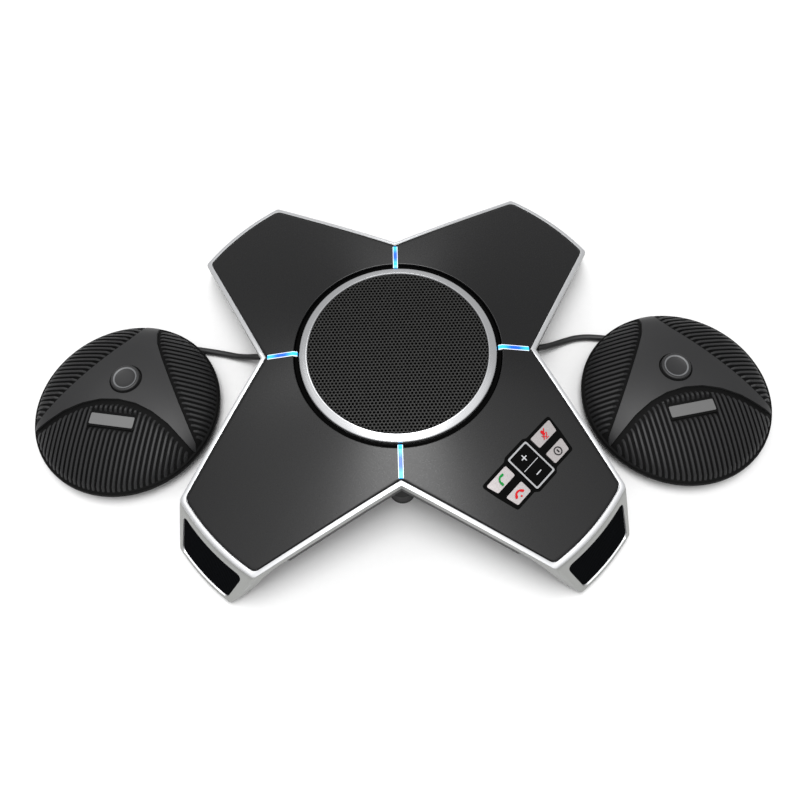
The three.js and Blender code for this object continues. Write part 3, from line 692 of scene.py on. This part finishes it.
def mic_windows():
    mesh = woven_window()

    def on_face(y, z, out):
        r = TIP_R - 1.6 + out
        return Vector((cap_slide(z) + sqrt(r ** 2 - y ** 2), y, z))

    for arm, degrees in ARMS.items():
        outline = rounded_outline(window_corners(0.15), WINDOW["corner"], 7)
        made = plate(outline, 0, 1.2, 0.3, 2.5, on_face)
        finish_piece(f"window_{arm}", made, mesh, [f"mic_window_{arm}"],
                     place=turned(degrees))


rim_frame()
mic_windows()


# ---- keypad

KEYPAD_U = 90
KEYPAD_V = 0.8
KEYPAD_TILT = atan(CONE_SLOPE)
KEYPAD = (
    turned(ARMS["front_right"])
    @ Matrix.Translation((KEYPAD_U, KEYPAD_V, cone_z(KEYPAD_U, KEYPAD_V)))
    @ Matrix.Rotation(KEYPAD_TILT, 4, "Y")
)
# Each key's sides along the arm, its inner edge across it, and its outer edge's two ends.
KEYS = {
    "mute_key": (-8.9, -2.5, 9.6, 24.6, 23.0),
    "power_key": (1.6, 8.2, 9.6, 22.0, 20.4),
    "answer_key": (-8.9, -2.5, -9.6, -24.0, -22.2),
    "hangup_key": (1.6, 8.2, -9.6, -21.0, -19.4),
}
KEY_PROUD = 0.9
VOLUME_X = (-10.1, 10.0)
VOLUME_HALF = 7.0
ROCKER_PROUD = 0.8
BEZEL_MARGIN = 1.7
BEZEL_CORNER = 1.7


def on_keypad(x, y, z):
    """A point of the keypad, x outwards and y across it, at z off the cone."""
    spot = KEYPAD @ Vector((x, y, 0))
    r = hypot(spot.x, spot.y)
    out = Vector((spot.x / r * sin(KEYPAD_TILT), spot.y / r * sin(KEYPAD_TILT), cos(KEYPAD_TILT)))
    return Vector((spot.x, spot.y, cone_z(spot.x, spot.y))) + out * z


def key_corners(name, grow):
    x0, x1, y0, outer0, outer1 = KEYS[name]
    side = 1 if y0 > 0 else -1
    corners = [
        (x0 - grow, y0 - side * grow), (x1 + grow, y0 - side * grow),
        (x1 + grow, outer1 + side * grow), (x0 - grow, outer0 + side * grow),
    ]
    return corners if side > 0 else corners[::-1]


def bezel_corners():
    m = BEZEL_MARGIN
    half = VOLUME_HALF + m
    mute, power, answer, hangup = KEYS.values()
    return [
        (mute[1] + m, mute[4] + m), (power[1] + m, power[4] + m), (power[1] + m, half),
        (VOLUME_X[1] + m, half - 2), (VOLUME_X[1] + m, 2 - half), (hangup[1] + m, -half),
        (hangup[1] + m, hangup[4] - m), (answer[1] + m, answer[4] - m), (answer[0] - m, answer[3] - m),
        (answer[0] - m, -half), (VOLUME_X[0] - m, 2 - half), (VOLUME_X[0] - m, half - 2),
        (mute[0] - m, half), (mute[0] - m, mute[3] + m),
    ]


def volume_corners(grow):
    (x0, x1), y = VOLUME_X, VOLUME_HALF + grow
    return [(x0 - grow, -y), (x1 + grow, -y), (x1 + grow, y), (x0 - grow, y)]


def opening(corners, corner, foot=-5):
    """A cutter for an opening of the keypad."""
    return through(rounded_outline(corners, corner), foot, 5, on_keypad)


def keypad():
    bezel = plate(rounded_outline(bezel_corners(), BEZEL_CORNER), -1.6, 0.35, 0.3, 2, on_keypad)
    surround = finish_piece("keypad_surround", bezel, polished_abs,
                            ["keypad_bezel"])
    cut_away(surround, [opening(key_corners(name, 0.3), 1.0) for name in KEYS]
             + [opening(volume_corners(0.2), 1.0)])
    for name in KEYS:
        cap = plate(rounded_outline(key_corners(name, 0), 0.9), -2.6, KEY_PROUD, 0.35, 2, on_keypad)
        finish_piece(name + "_cap", cap, key_paint, [name], body=name)
    edge = plate(rounded_outline(volume_corners(0), 1.1), -1.5, 1.1, 0.3, 2, on_keypad)
    edge = finish_piece("volume_surround", edge, plated_zinc, ["volume_frame"])
    cut_away(edge, [opening(volume_corners(-0.85), 0.8)])
    rocker = plate(rounded_outline(volume_corners(-1.2), 0.7), -2.3, ROCKER_PROUD, 0.35, 1.5, on_keypad)
    finish_piece("volume_key", rocker, polished_abs, ["volume_rocker"], body="volume_rocker")


keypad()


def on_key(name):
    """Places a symbol on a key: its right is across the arm and its top towards the middle."""
    x0, x1, y0, outer0, outer1 = KEYS[name]
    x, y = (x0 + x1) / 2, (y0 + (outer0 + outer1) / 2) / 2

    def place(right, up, z):
        return on_keypad(x - up, y + right, KEY_PROUD + z)

    return place


def on_rocker(x, y, z):
    return on_keypad(x, y, ROCKER_PROUD + z)


def bar(x0, y0, x1, y1, width, steps=5):
    """The outline of a stroke with round ends."""
    start, end = Vector((x0, y0)), Vector((x1, y1))
    heading = atan2(end.y - start.y, end.x - start.x)
    points = []
    for spot, turn in ((end, -pi / 2), (start, pi / 2)):
        for i in range(steps + 1):
            angle = heading + turn + pi * i / steps
            points.append(spot + Vector((cos(angle), sin(angle))) * (width / 2))
    return points


def arc_band(x, y, r, width, start, end, steps=14):
    """The outline of a band along an arc; angles in degrees."""
    points = []
    for radius, order in ((r + width / 2, 1), (r - width / 2, -1)):
        for i in range(steps + 1)[::order]:
            angle = radians(start + (end - start) * i / steps)
            points.append(Vector((x + radius * cos(angle), y + radius * sin(angle))))
    return points


def symbol(name, outlines, ink, body, place):
    """Printed strokes, each a thin plate a hair above the last."""
    whole = bmesh.new()
    for i, outline in enumerate(outlines):
        stroke = plate(outline, -0.05, 0.05 + 0.006 * i, 0, 0.8, place)
        holder = bpy.data.meshes.new("stroke")
        stroke.to_mesh(holder)
        stroke.free()
        whole.from_mesh(holder)
        bpy.data.meshes.remove(holder)
    finish_piece(name, whole, ink, body=body)


def handset(turn, y):
    """A telephone handset seen from the side, turned about its middle."""
    spin = Matrix.Rotation(radians(turn), 2)
    parts = [
        arc_band(0, -2.0, 2.7, 0.9, 35, 145),
        bar(-2.4, -0.85, -1.8, -0.3, 1.25),
        bar(2.4, -0.85, 1.8, -0.3, 1.25),
    ]
    return [[spin @ point + Vector((0, y)) for point in part] for part in parts]


def key_symbols():
    crossed_microphone = [
        bar(0, 0.2, 0, 1.6, 1.5), arc_band(0, 0.2, 1.55, 0.4, 180, 360), bar(0, -1.4, 0, -2.1, 0.4),
        bar(-0.9, -2.3, 0.9, -2.3, 0.4), bar(-2.0, -1.9, 2.0, 2.1, 0.45),
    ]
    power_ring = [
        arc_band(0, 0, 2.0, 0.5, 0, 180), arc_band(0, 0, 2.0, 0.5, 180, 360), bar(0, -0.55, 0, 0.65, 0.7),
    ]
    for key, outlines, ink in (
        ("mute", crossed_microphone, red_ink),
        ("power", power_ring, dark_ink),
        ("answer", handset(45, 0.3), green_ink),
        ("hangup", handset(0, 0.5) + [circle_outline(0, -1.6, 0.5, 16)], red_ink),
    ):
        symbol(key + "_symbol", outlines, ink, key + "_key", on_key(key + "_key"))
    for mark, outlines in (
        ("line", [bar(-0.2, -5.0, -0.2, 5.0, 0.3)]),
        ("plus", [bar(-4.9, -1.5, -4.9, 1.5, 0.55), bar(-6.4, 0, -3.4, 0, 0.55)]),
        ("minus", [bar(5.0, -1.5, 5.0, 1.5, 0.55)]),
    ):
        symbol("rocker_" + mark, outlines, pale_ink, "volume_rocker", on_rocker)


key_symbols()


# ---- cover and light bars

COVER_INSET = RIM_BAND + GAP
WELL_R = 54.9


def top_cover():
    lowest = outline_ring(COVER_INSET, RIM_INNER_CORNER, 0.9)
    crest = cone_z(CREST_R)
    rings = [round_ring(r, z, lowest) for r, z in (
        (WELL_R, crest - 2.2), (WELL_R, crest - 0.4), (WELL_R + 0.1, crest - 0.12),
        (CREST_R + 0.15, cone_z(CREST_R + 0.15)), (CREST_R + 0.8, cone_z(CREST_R + 0.8)))]
    rings += [outline_ring(COVER_INSET + inset, corner, drop) for inset, corner, drop in (
        (1.6, 3.0, 0.0), (0.7, 3.6, 0.01), (0.4, 3.8, 0.09), (0.16, 4.0, 0.26), (0.03, 4.15, 0.55),
        (0, RIM_INNER_CORNER, 0.9), (0, RIM_INNER_CORNER, 2.2))]
    made = finish_piece("cover", stacked(rings, closed=True), cover_abs,
                        ["top_cover"])
    half, outer = LIGHT["width"] / 2 + 0.2, LIGHT["outer"] + 0.3
    groove = [Vector(p) for p in ((48, -half), (outer, -half), (outer, half), (48, half))]
    cut_away(made, [opening(bezel_corners(), BEZEL_CORNER, -8)]
             + [through(groove, -1.2, 6, on_ray, degrees) for degrees in NOTCHES.values()], 24)


def on_ray(x, y, z):
    """A point of a light bar, which lies along the cone and bends down over its crest."""
    height = cone_z(max(x, CREST_R), y)
    if x < CREST_R:
        height -= (CREST_R - x) * 0.3
    return Vector((x, y, height + z))


def light_bars():
    glow = lit_guide()
    half, inner, outer = LIGHT["width"] / 2, LIGHT["inner"], LIGHT["outer"]
    outline = rounded_outline([(inner, -half), (outer, -half), (outer, half), (inner, half)], 0.35)
    for notch, degrees in NOTCHES.items():
        made = plate(outline, -LIGHT["thick"], LIGHT["rise"], 0.25, 1.1, on_ray)
        finish_piece(f"light_{notch}", made, glow, [f"light_bar_{notch}"],
                     place=turned(degrees))


top_cover()
light_bars()


# ---- speaker

RING_TOP = span("grille_ring")[1].z
RING_OUTER = span("grille_ring")[1].x
RING_INNER = 47.6
RING_FOOT = 45.5
GRILLE_TOP = span("speaker_grille")[1].z
# The grille's holes, and the thickness of its sheet.
HOLE_PITCH = 1.95
HOLE_R = 0.7
SHEET = 0.7


def speaker_ring():
    profile = [(RING_OUTER, RING_FOOT)]
    profile += [(RING_OUTER - inset, RING_TOP - drop) for inset, drop in (
        (0, 1.75), (0.08, 1.45), (0.3, 1.2), (0.6, 1.05))]
    profile += [(RING_INNER + out, RING_TOP - drop) for out, drop in (
        (1.9, 0.5), (0.9, 0.14), (0.55, 0.02), (0.3, 0.04), (0.08, 0.25), (0, 0.7))]
    profile.append((RING_INNER, RING_FOOT))
    finish_piece("speaker_ring", lathe(profile, 160, closed=True), turned_aluminium,
                 ["grille_ring"])
    edge = WELL_R - GAP
    channel = [
        (46.4, 43.6), (edge, 43.6), (edge, 46.9), (edge - 0.25, 47.2), (RING_OUTER + 0.6, 47.05),
        (RING_OUTER + GAP, 46.8), (RING_OUTER + GAP, 45.0), (46.4, 45.0),
    ]
    finish_piece("recess_channel", lathe(channel, 128, closed=True), polished_abs,
                 ["recess_ring"])


def speaker_grille():
    """A punched sheet: staggered round holes, each a small six-sided cell, over black cloth."""
    row_gap = HOLE_PITCH * sqrt(3) / 2
    rows = int(RING_INNER / row_gap)
    bm = bmesh.new()
    for row in range(-rows, rows + 1):
        shift = HOLE_PITCH / 2 if row % 2 else 0.0
        y = row * row_gap
        reach = sqrt(RING_INNER ** 2 - y ** 2)
        first, last = ceil((-reach - shift) / HOLE_PITCH), floor((reach - shift) / HOLE_PITCH)
        for column in range(first, last + 1):
            spot = Matrix.Translation((column * HOLE_PITCH + shift, y, 0)) @ turned(30)
            bmesh.ops.create_circle(bm, cap_ends=True, segments=6, radius=HOLE_PITCH / sqrt(3), matrix=spot)
    bmesh.ops.remove_doubles(bm, verts=bm.verts, dist=0.02)
    cells = [face for face in bm.faces if len(face.verts) == 6]
    bmesh.ops.inset_individual(bm, faces=cells, thickness=HOLE_PITCH / 2 - HOLE_R, depth=0.0)
    walls = bmesh.ops.extrude_discrete_faces(bm, faces=cells)["faces"]
    floor_verts = {vert for face in walls for vert in face.verts}
    bmesh.ops.translate(bm, vec=(0, 0, -SHEET), verts=list(floor_verts))
    bmesh.ops.delete(bm, geom=walls, context="FACES_ONLY")
    bmesh.ops.translate(bm, vec=(0, 0, GRILLE_TOP), verts=bm.verts)
    finish_piece("grille_sheet", bm, coated_steel, ["speaker_grille"])
    foot, top = GRILLE_TOP - 1.4, GRILLE_TOP - 0.75
    cloth = lathe([(0, foot), (RING_INNER, foot), (RING_INNER, top), (0, top)], 64)
    finish_piece("grille_cloth", cloth, acoustic_cloth)


speaker_ring()
speaker_grille()


# ---- lower housing

HOUSING_BOTTOM = span("lower_housing")[0].z
HOUSING_INSET = 12.3
HOUSING_SLOPE = 0.3
HOUSING_TIP = 130
HOUSING_WALL = 2.0
SKIRT_DEPTH = 5.2
SIDE_FACING = 90 - TAPER
# Which way each socket faces, and the width and height of its opening in the wall.
SOCKETS = {
    "usb_socket": (ARMS["rear_right"] + SIDE_FACING, 12.6, 7.0),
    "audio_socket": (ARMS["rear_left"] - SIDE_FACING, 8.6, 7.8),
}
# The outline of a tongue of the floor, out along its arm.
TONGUE = [(112, -17.6), (141, -16.6), (142.6, 0), (141, 16.6), (112, 17.6)]


def housing_ring(height=None, back=0.0, drop=RIM_DEPTH + GAP):
    """A ring of the housing's sloping wall, at one height or at a drop below the cone."""
    points = []
    for i in range(HALF_COUNT):
        z = 30.0 if height is None else height
        for _ in range(6):
            inset = HOUSING_INSET - HOUSING_SLOPE * (z - HOUSING_BOTTOM) + back
            tip = min(HOUSING_TIP, HOUSING_TIP - 2 + HOUSING_SLOPE * (z - HOUSING_BOTTOM)) - back
            point = half_arm(inset, 3.0, tip)[i]
            if height is None:
                z = cone_z(point.x, point.y) - drop
        points.append(Vector((point.x, point.y, z)))
    return all_round(points)


def flange_ring(inset, drop):
    """A ring of the dark skirt that shows under the rim; it stays behind the end caps' walls."""
    half = []
    for i, point in enumerate(half_arm(inset, 2.0, TIP_R - CAP_WALL - GAP)):
        behind = half_arm(CAP_WALL + GAP, 1.0, TIP_R - CAP_WALL - GAP)[i]
        spot = point if behind.x < DIAGONAL[0][0] - 4 else behind
        half.append(Vector((spot.x, spot.y, cone_z(spot.x, spot.y) - drop)))
    return all_round(half)


def socket_place(node):
    return Matrix.Translation(centre(node)) @ turned(SOCKETS[node][0])


def housing_part(name, bm, place=None, stands_for=()):
    return finish_piece(name, bm, housing_abs, stands_for, place)


def housing_shell():
    """The housing's wall and skirt, with wells for its screws and tunnels for its sockets."""
    skirt = RIM_DEPTH + SKIRT_DEPTH
    rings = [housing_ring(HOUSING_BOTTOM + lift, back) for lift, back in (
        (0, 0.9), (0.12, 0.35), (0.5, 0.05), (1.0, 0.0))]
    rings.append(housing_ring(drop=skirt + 0.4))
    rings += [flange_ring(inset, drop) for inset, drop in (
        (1.4, skirt), (0.7, skirt - 0.2), (0.35, skirt - 0.7), (0.15, RIM_DEPTH + 0.5),
        (0.15, RIM_DEPTH + 0.12), (3.2, RIM_DEPTH + 0.12))]
    rings += [housing_ring(back=HOUSING_WALL), housing_ring(HOUSING_BOTTOM + HOUSING_WALL, HOUSING_WALL)]
    cutters = []
    for arm in ARMS:
        node = f"housing_screw_{arm}"
        foot, top = (corner.z for corner in span(node))
        well = lathe([(0, foot - 3), (3.3, foot - 3), (3.3, top + 0.3), (0, top + 0.3)], 24)
        bmesh.ops.transform(well, matrix=above(node), verts=well.verts)
        cutters.append(well)
    for node, (facing, width, height) in SOCKETS.items():
        cutters.append(box_of(socket_place(node), 30, width, height))
    cut_away(housing_part("housing", stacked(rings, lid=True), stands_for=["lower_housing"]), cutters)


def base_tongues():
    """The floor's tongues, which reach out under the end caps."""
    def on_floor(x, y, z):
        return Vector((x, y, HOUSING_BOTTOM + z))

    for arm, degrees in ARMS.items():
        tongue = plate(rounded_outline(TONGUE, 1.5), 0.15, HOUSING_WALL - 0.15, 0, 60, on_floor)
        housing_part(f"base_tongue_{arm}", tongue, turned(degrees))


def jack_barrels():
    """The sleeves that the microphones' plugs go into."""
    for side, sign in (("left", -1), ("right", 1)):
        plug = centre(f"mic_plug_{side}")
        barrel = lathe([(0, 0), (4.2, 0), (4.2, 10.2), (3.9, 10.6), (2.6, 10.6), (2.6, 9), (0, 9)], 32)
        place = Matrix.Translation((sign * 64, plug.y, plug.z)) @ Matrix.Rotation(sign * pi / 2, 4, "Y")
        housing_part(f"jack_barrel_{side}", barrel, place)


def feet():
    """A boss under each notch, with a rubber foot let into it."""
    base = HOUSING_BOTTOM
    for notch in NOTCHES:
        node = f"foot_{notch}"
        low, high = span(node)
        boss = [(0, base), (6.9, base), (7.3, base + 0.4), (7.3, base + 8), (4.5, base + 12), (0, base + 12)]
        housing_part(f"foot_boss_{notch}", lathe(boss, 40), above(node))
        r, top = (high.x - low.x) / 2, high.z
        foot = [(0, 0), (r - 2.6, 0), (r - 2.4, 0.25), (r - 2.0, 0.25), (r - 1.8, 0), (r - 1.0, 0),
                (r - 0.3, 0.35), (r, 1.1), (r, top - 0.2), (r - 0.2, top), (0, top)]
        finish_piece(f"foot_pad_{notch}", lathe(foot, 40), silicone, [node], above(node))


def socket_insides():
    """The black tongue of the data socket and the contact ring of the audio socket."""
    tongue = box_of(socket_place("usb_socket"), 11.4, 7.0, 0.9)
    finish_piece("usb_tongue", tongue, polished_abs)
    sleeve = lathe([(1.2, 2), (1.72, 2), (1.72, 6.6), (1.2, 6.6)], 32, closed=True)
    finish_piece("audio_sleeve", sleeve, zinc_steel,
                 place=socket_place("audio_socket") @ Matrix.Rotation(pi / 2, 4, "Y"))


def housing_screws():
    """Pan-head screws with a cross recess, seen from below."""
    for arm in ARMS:
        node = f"housing_screw_{arm}"
        foot, top = (corner.z for corner in span(node))
        head = [(0, foot), (2.2, foot), (2.7, foot + 0.35), (2.8, foot + 0.6), (2.8, top), (0, top)]
        made = finish_piece(node + "_head", lathe(head, 32), zinc_steel, [node], above(node))
        for degrees in (0, 90):
            place = above(node) @ Matrix.Translation((0, 0, foot)) @ turned(degrees)
            cut_away(made, [box_of(place, 2.9, 0.6, 0.9)])


housing_shell()
base_tongues()
jack_barrels()
feet()
socket_insides()
housing_screws()


# ---- extension microphones

DOME = [
    (0, 23.7), (16, 22.8), (30, 20.5), (39.5, 17.7), (45.5, 15.2), (49.4, 12.8), (51.4, 10.6), (52.1, 8.4),
    (51.7, 6.5), (50.2, 5.2),
]
DOME_EDGE_R = 51.7
RIB_EDGE_R = 50.9
RIB_PITCH = 2.8
RIB_SINK = 1.3
MIC_YAW = 9.5
SADDLE_RISE = 1.3
SADDLE_HALF = [
    (4, 51.5), (5.4, 45), (8.6, 37.5), (14.6, 28), (29, 6.5), (45.6, -18),
    (46.6, -23.0), (40, -18.2), (30, -10.9), (20, -5.7), (10, -2.5),
]
BUTTON_Y = 11
BUTTON_HOLE = 9
PLATE_Y = -14.2
PLATE_HALF = (12.3, 3.1)
# How far the ribs stay clear of the nameplate, and how finely a rib feels its way.
PLATE_CLEAR = 1.6
RIB_STEP = 0.25


def smooth_line(points, steps):
    """A smooth line through points, denser than they are."""
    line = []
    vectors = [Vector(point) for point in points]
    for i, (start, end) in enumerate(zip(vectors, vectors[1:])):
        before = vectors[i - 1] if i else start - (end - start)
        after = vectors[i + 2] if i + 2 < len(vectors) else end + (end - start)
        for k in range(steps):
            t = k / steps
            line.append(0.5 * ((2 * start) + (end - before) * t
                               + (2 * before - 5 * start + 4 * end - after) * t ** 2
                               + (3 * start - before - 3 * end + after) * t ** 3))
    line.append(vectors[-1])
    return line


DOME_LINE = smooth_line(DOME, 6)


def dome_z(x, y):
    r = min(hypot(x, y), DOME_EDGE_R)
    for start, end in zip(DOME_LINE, DOME_LINE[1:]):
        if start.x <= r < end.x:
            break
    return start.y + (end.y - start.y) * (r - start.x) / (end.x - start.x)


def inside(outline, x, y):
    """Whether a point is inside an outline."""
    found = False
    for start, end in zip(outline, outline[1:] + outline[:1]):
        if (start.y > y) != (end.y > y):
            crossing = start.x + (y - start.y) * (end.x - start.x) / (end.y - start.y)
            found = found != (x < crossing)
    return found


def saddle_corners(grow=0.0):
    mirrored = [(-x, y) for x, y in SADDLE_HALF]
    corners = [Vector(p) for p in mirrored + [(0, -1.5)] + SADDLE_HALF[::-1]]
    if not grow:
        return corners
    moved = []
    for i, corner in enumerate(corners):
        before = (corner - corners[i - 1]).normalized()
        after = (corners[(i + 1) % len(corners)] - corner).normalized()
        middle = (before + after).normalized()
        moved.append(corner + Vector((middle.y, -middle.x)) * grow / max(0.5, middle.dot(after)))
    return moved


def rib_run(outline, start, heading, limit):
    """How far a rib runs from start along heading before it meets an outline."""
    spot = start.copy()
    travelled = 0.0
    while travelled < limit and not inside(outline, spot.x, spot.y):
        spot += heading * RIB_STEP
        travelled += RIB_STEP
    return travelled


def rib(bm, start, heading, length):
    """One rib over the dome: a round-topped strip that sinks away at both ends."""
    section = [(-1.0, -1.5), (-0.86, -0.3), (-0.5, 0.0), (0.5, 0.0), (0.86, -0.3), (1.0, -1.5)]
    cuts = max(3, ceil(length / 2.5))
    made = bmesh.ops.create_grid(bm, x_segments=cuts, y_segments=len(section) - 1, size=0.5)["verts"]
    across = Vector((-heading.y, heading.x))
    for vert in made:
        share, row = vert.co.x + 0.5, round((vert.co.y + 0.5) * (len(section) - 1))
        along = share * length
        aside, lift = section[row]
        fall = RIB_SINK * max(0.0, 1 - min(along, length - along) / 1.1) ** 2
        spot = start + heading * along + across * aside * 0.9
        vert.co = (spot.x, spot.y, dome_z(spot.x, spot.y) + lift - fall)


def ribs():
    """All ribs of one microphone: front ones run fore and aft, side ones run sideways."""
    bm = bmesh.new()
    saddle = saddle_corners(1.6)
    front = saddle_corners(2.8)
    half = PLATE_HALF[0] + PLATE_CLEAR
    low, high = PLATE_Y - PLATE_HALF[1] - PLATE_CLEAR, PLATE_Y + 30
    badge = rounded_outline([(-half, low), (half, low), (half, high), (-half, high)], 0.5)
    count = int(RIB_EDGE_R / RIB_PITCH)
    for k in range(-count, count + 1):
        x = k * RIB_PITCH
        y = -sqrt(max(0.0, RIB_EDGE_R ** 2 - x ** 2))
        start, up = Vector((x, y)), Vector((0, 1))
        if abs(x) > 44 or inside(front, x, y):
            continue
        length = min(rib_run(outline, start, up, 60) for outline in (front, badge))
        if length > 2.5:
            rib(bm, start, up, length)
        if abs(x) < PLATE_HALF[0] + 2:
            beyond = Vector((x, PLATE_Y + PLATE_HALF[1] + 1.9))
            length = rib_run(front, beyond, up, 40)
            if length > 1.6:
                rib(bm, beyond, up, length)
    for k in range(-7, count + 1):
        y = k * RIB_PITCH
        reach = sqrt(max(0.0, RIB_EDGE_R ** 2 - y ** 2))
        for sign in (-1, 1):
            start, inwards = Vector((sign * reach, y)), Vector((-sign, 0))
            if inside(saddle, start.x, start.y) or (y < -17 and abs(start.x) < 46):
                continue
            length = rib_run(saddle, start, inwards, reach)
            if length > 2:
                rib(bm, start, inwards, length)
    return bm


def microphone(side, sign):
    place = above(f"mic_pad_{side}") @ turned(-sign * MIC_YAW)
    over_button = Matrix.Translation((0, BUTTON_Y, 0))
    button = f"mic_button_{side}"

    def put(name, bm, material, nodes=(), at=place, body="root"):
        return finish_piece(f"{name}_{side}", bm, material, nodes, at, body)

    def on_dome(x, y, z):
        return Vector((x, y, dome_z(x, y) + z))

    pad = lathe([(0, 0), (33, 0), (33.3, 0.3), (34, 0.3), (34.3, 0), (36, 0), (36.6, 0.6), (36.6, 1.25),
                 (0, 1.25)], 80)
    put("microphone_pad", pad, silicone, [f"mic_pad_{side}"])
    base = lathe([(0, 1.2), (40.5, 1.2), (41.4, 1.7), (42, 2.6), (42, 5.0), (45.7, 5.0), (46, 5.3), (46, 7.4),
                  (0, 7.4)], 96)
    put("microphone_base", base, housing_abs, [f"mic_base_{side}"])
    sunk_line = []
    for point in DOME_LINE:
        sunk = RIB_SINK * min(1.0, max(0.0, (RIB_EDGE_R + 0.8 - point.x) / 1.2))
        sunk_line.append((point.x, point.y - sunk))
    shell = lathe(sunk_line + [(46.6, 5.2), (46.6, 10)], 128)
    # The shell between the ribs takes the darker nylon: painted shade in the grooves.
    put("microphone_shell", shell, nylon_painted_shade, [f"mic_shell_{side}"])
    put("microphone_ribs", ribs(), ribbed_nylon)

    outline = rounded_outline(saddle_corners(), 1.2, 4)
    dense = []
    for start, end in zip(outline, outline[1:] + outline[:1]):
        parts = max(1, ceil((end - start).length / 2.5))
        dense += [start.lerp(end, k / parts) for k in range(parts)]
    saddle = put("microphone_saddle", plate(dense, -1.2, SADDLE_RISE, 1.1, 2.5, on_dome, 4), soft_touch,
                 [f"mic_saddle_{side}"])
    hole = lathe([(0, 15), (BUTTON_HOLE, 15), (BUTTON_HOLE, 30), (0, 30)], 64)
    bmesh.ops.transform(hole, matrix=place @ over_button, verts=hole.verts)
    cut_away(saddle, [hole])

    top = span(button)[1].z
    cap = [(r, top - drop) for r, drop in (
        (0, 0.75), (3.5, 0.65), (5.7, 0.4), (6.5, 0.12), (7.1, 0), (7.6, 0.12), (7.9, 0.4), (8.0, 0.9))]
    put("button_cap", lathe(cap + [(8.0, 20.8), (0, 20.8)], 72), soft_touch, [button],
        place @ over_button, button)
    halo = [(r, top - drop) for r, drop in ((5.7, 0.5), (6.5, 0.3), (6.5, 0.06), (5.7, 0.33))]
    put("button_halo", lathe(halo, 72, closed=True), halo_ink, (), place @ over_button, button)

    tilt = atan((dome_z(0, PLATE_Y + 3) - dome_z(0, PLATE_Y - 3)) / 6)
    seat = Matrix.Translation((0, PLATE_Y, dome_z(0, PLATE_Y))) @ Matrix.Rotation(tilt, 4, "X")

    def flat(x, y, z):
        return seat @ Vector((x, y, z))

    width, depth = PLATE_HALF
    badge = [(-width, -depth), (width, -depth), (width, depth), (-width, depth)]
    put("badge", plate(rounded_outline(badge, 0.8), -0.7, 0.15, 0.2, 4, flat), brushed_badge,
        [f"mic_nameplate_{side}"])
    rebate = [(x * (1 + 1.1 / width), y * (1 + 1.1 / depth)) for x, y in badge]
    rebate = plate(rounded_outline(rebate, 1.2), -1.0, -0.1, 0.3, 4, flat)
    # The rebate round the badge takes the darker nylon as painted shade.
    put("badge_seat", rebate, nylon_painted_shade)


microphone("left", 1)
microphone("right", -1)


# ---- finishes of the CAD pieces that stay

STAYING = (
    (zinc_steel, ["usb_socket", "audio_socket", "speaker_driver"] + [f"mic_capsule_{arm}" for arm in ARMS]),
    (solder_mask, ["main_board", "key_board", "mic_board_left", "mic_board_right"]),
    (silicone, ["key_mat"]),
    (paper_pulp, ["speaker_cone"]),
)
for material, nodes in STAYING:
    for node in nodes:
        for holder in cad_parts[node].material_slots:
            holder.material = material


# ---- floor and light

WORLD_STRENGTH = 0.48
# Each soft box's place and aim in metres, its size and its power in watts.
SOFT_BOXES = {
    "overhead_box": ((0, -0.3, 1.3), (0, -0.3, 0), (2.2, 1.6), 7),
    "key_box": ((0, -0.08, 1.25), (0, -0.08, 0), (0.5, 0.7), 8.5),
    "left_box": ((-0.62, 0.5, 1.15), (0, 0, 0), (0.4, 0.4), 1.3),
    "rear_box": ((0, 1.3, 0.95), (0, 0, 0), (0.5, 0.35), 1.5),
}


def lay_floor():
    bm = bmesh.new()
    bmesh.ops.create_grid(bm, x_segments=1, y_segments=1, size=6.0)
    mesh = bpy.data.meshes.new("floor")
    bm.to_mesh(mesh)
    bm.free()
    # Seamless paper: a bright even white.
    mesh.materials.append(grained("seamless_paper", "#f6f6f6", "#fafafa", (0.85, 0.95), 3.0))
    new_object("floor", mesh)


def soft_box(name, spot, aim, size, power):
    data = bpy.data.lights.new(name, "AREA")
    data.shape = "RECTANGLE"
    data.size, data.size_y = size
    data.energy = power
    lamp = new_object(name, data)
    lamp.location = spot
    lamp.rotation_mode = "QUATERNION"
    lamp.rotation_quaternion = (Vector(spot) - Vector(aim)).to_track_quat("Z", "Y")


def light_studio():
    world = bpy.data.worlds.new("studio")
    world.use_nodes = True
    inputs = world.node_tree.nodes["Background"].inputs
    inputs["Color"].default_value = (1, 1, 1, 1)
    inputs["Strength"].default_value = WORLD_STRENGTH
    scene = bpy.context.scene
    scene.world = world
    for name, settings in SOFT_BOXES.items():
        soft_box(name, *settings)
    scene.view_settings.view_transform = "Standard"


lay_floor()
light_studio()
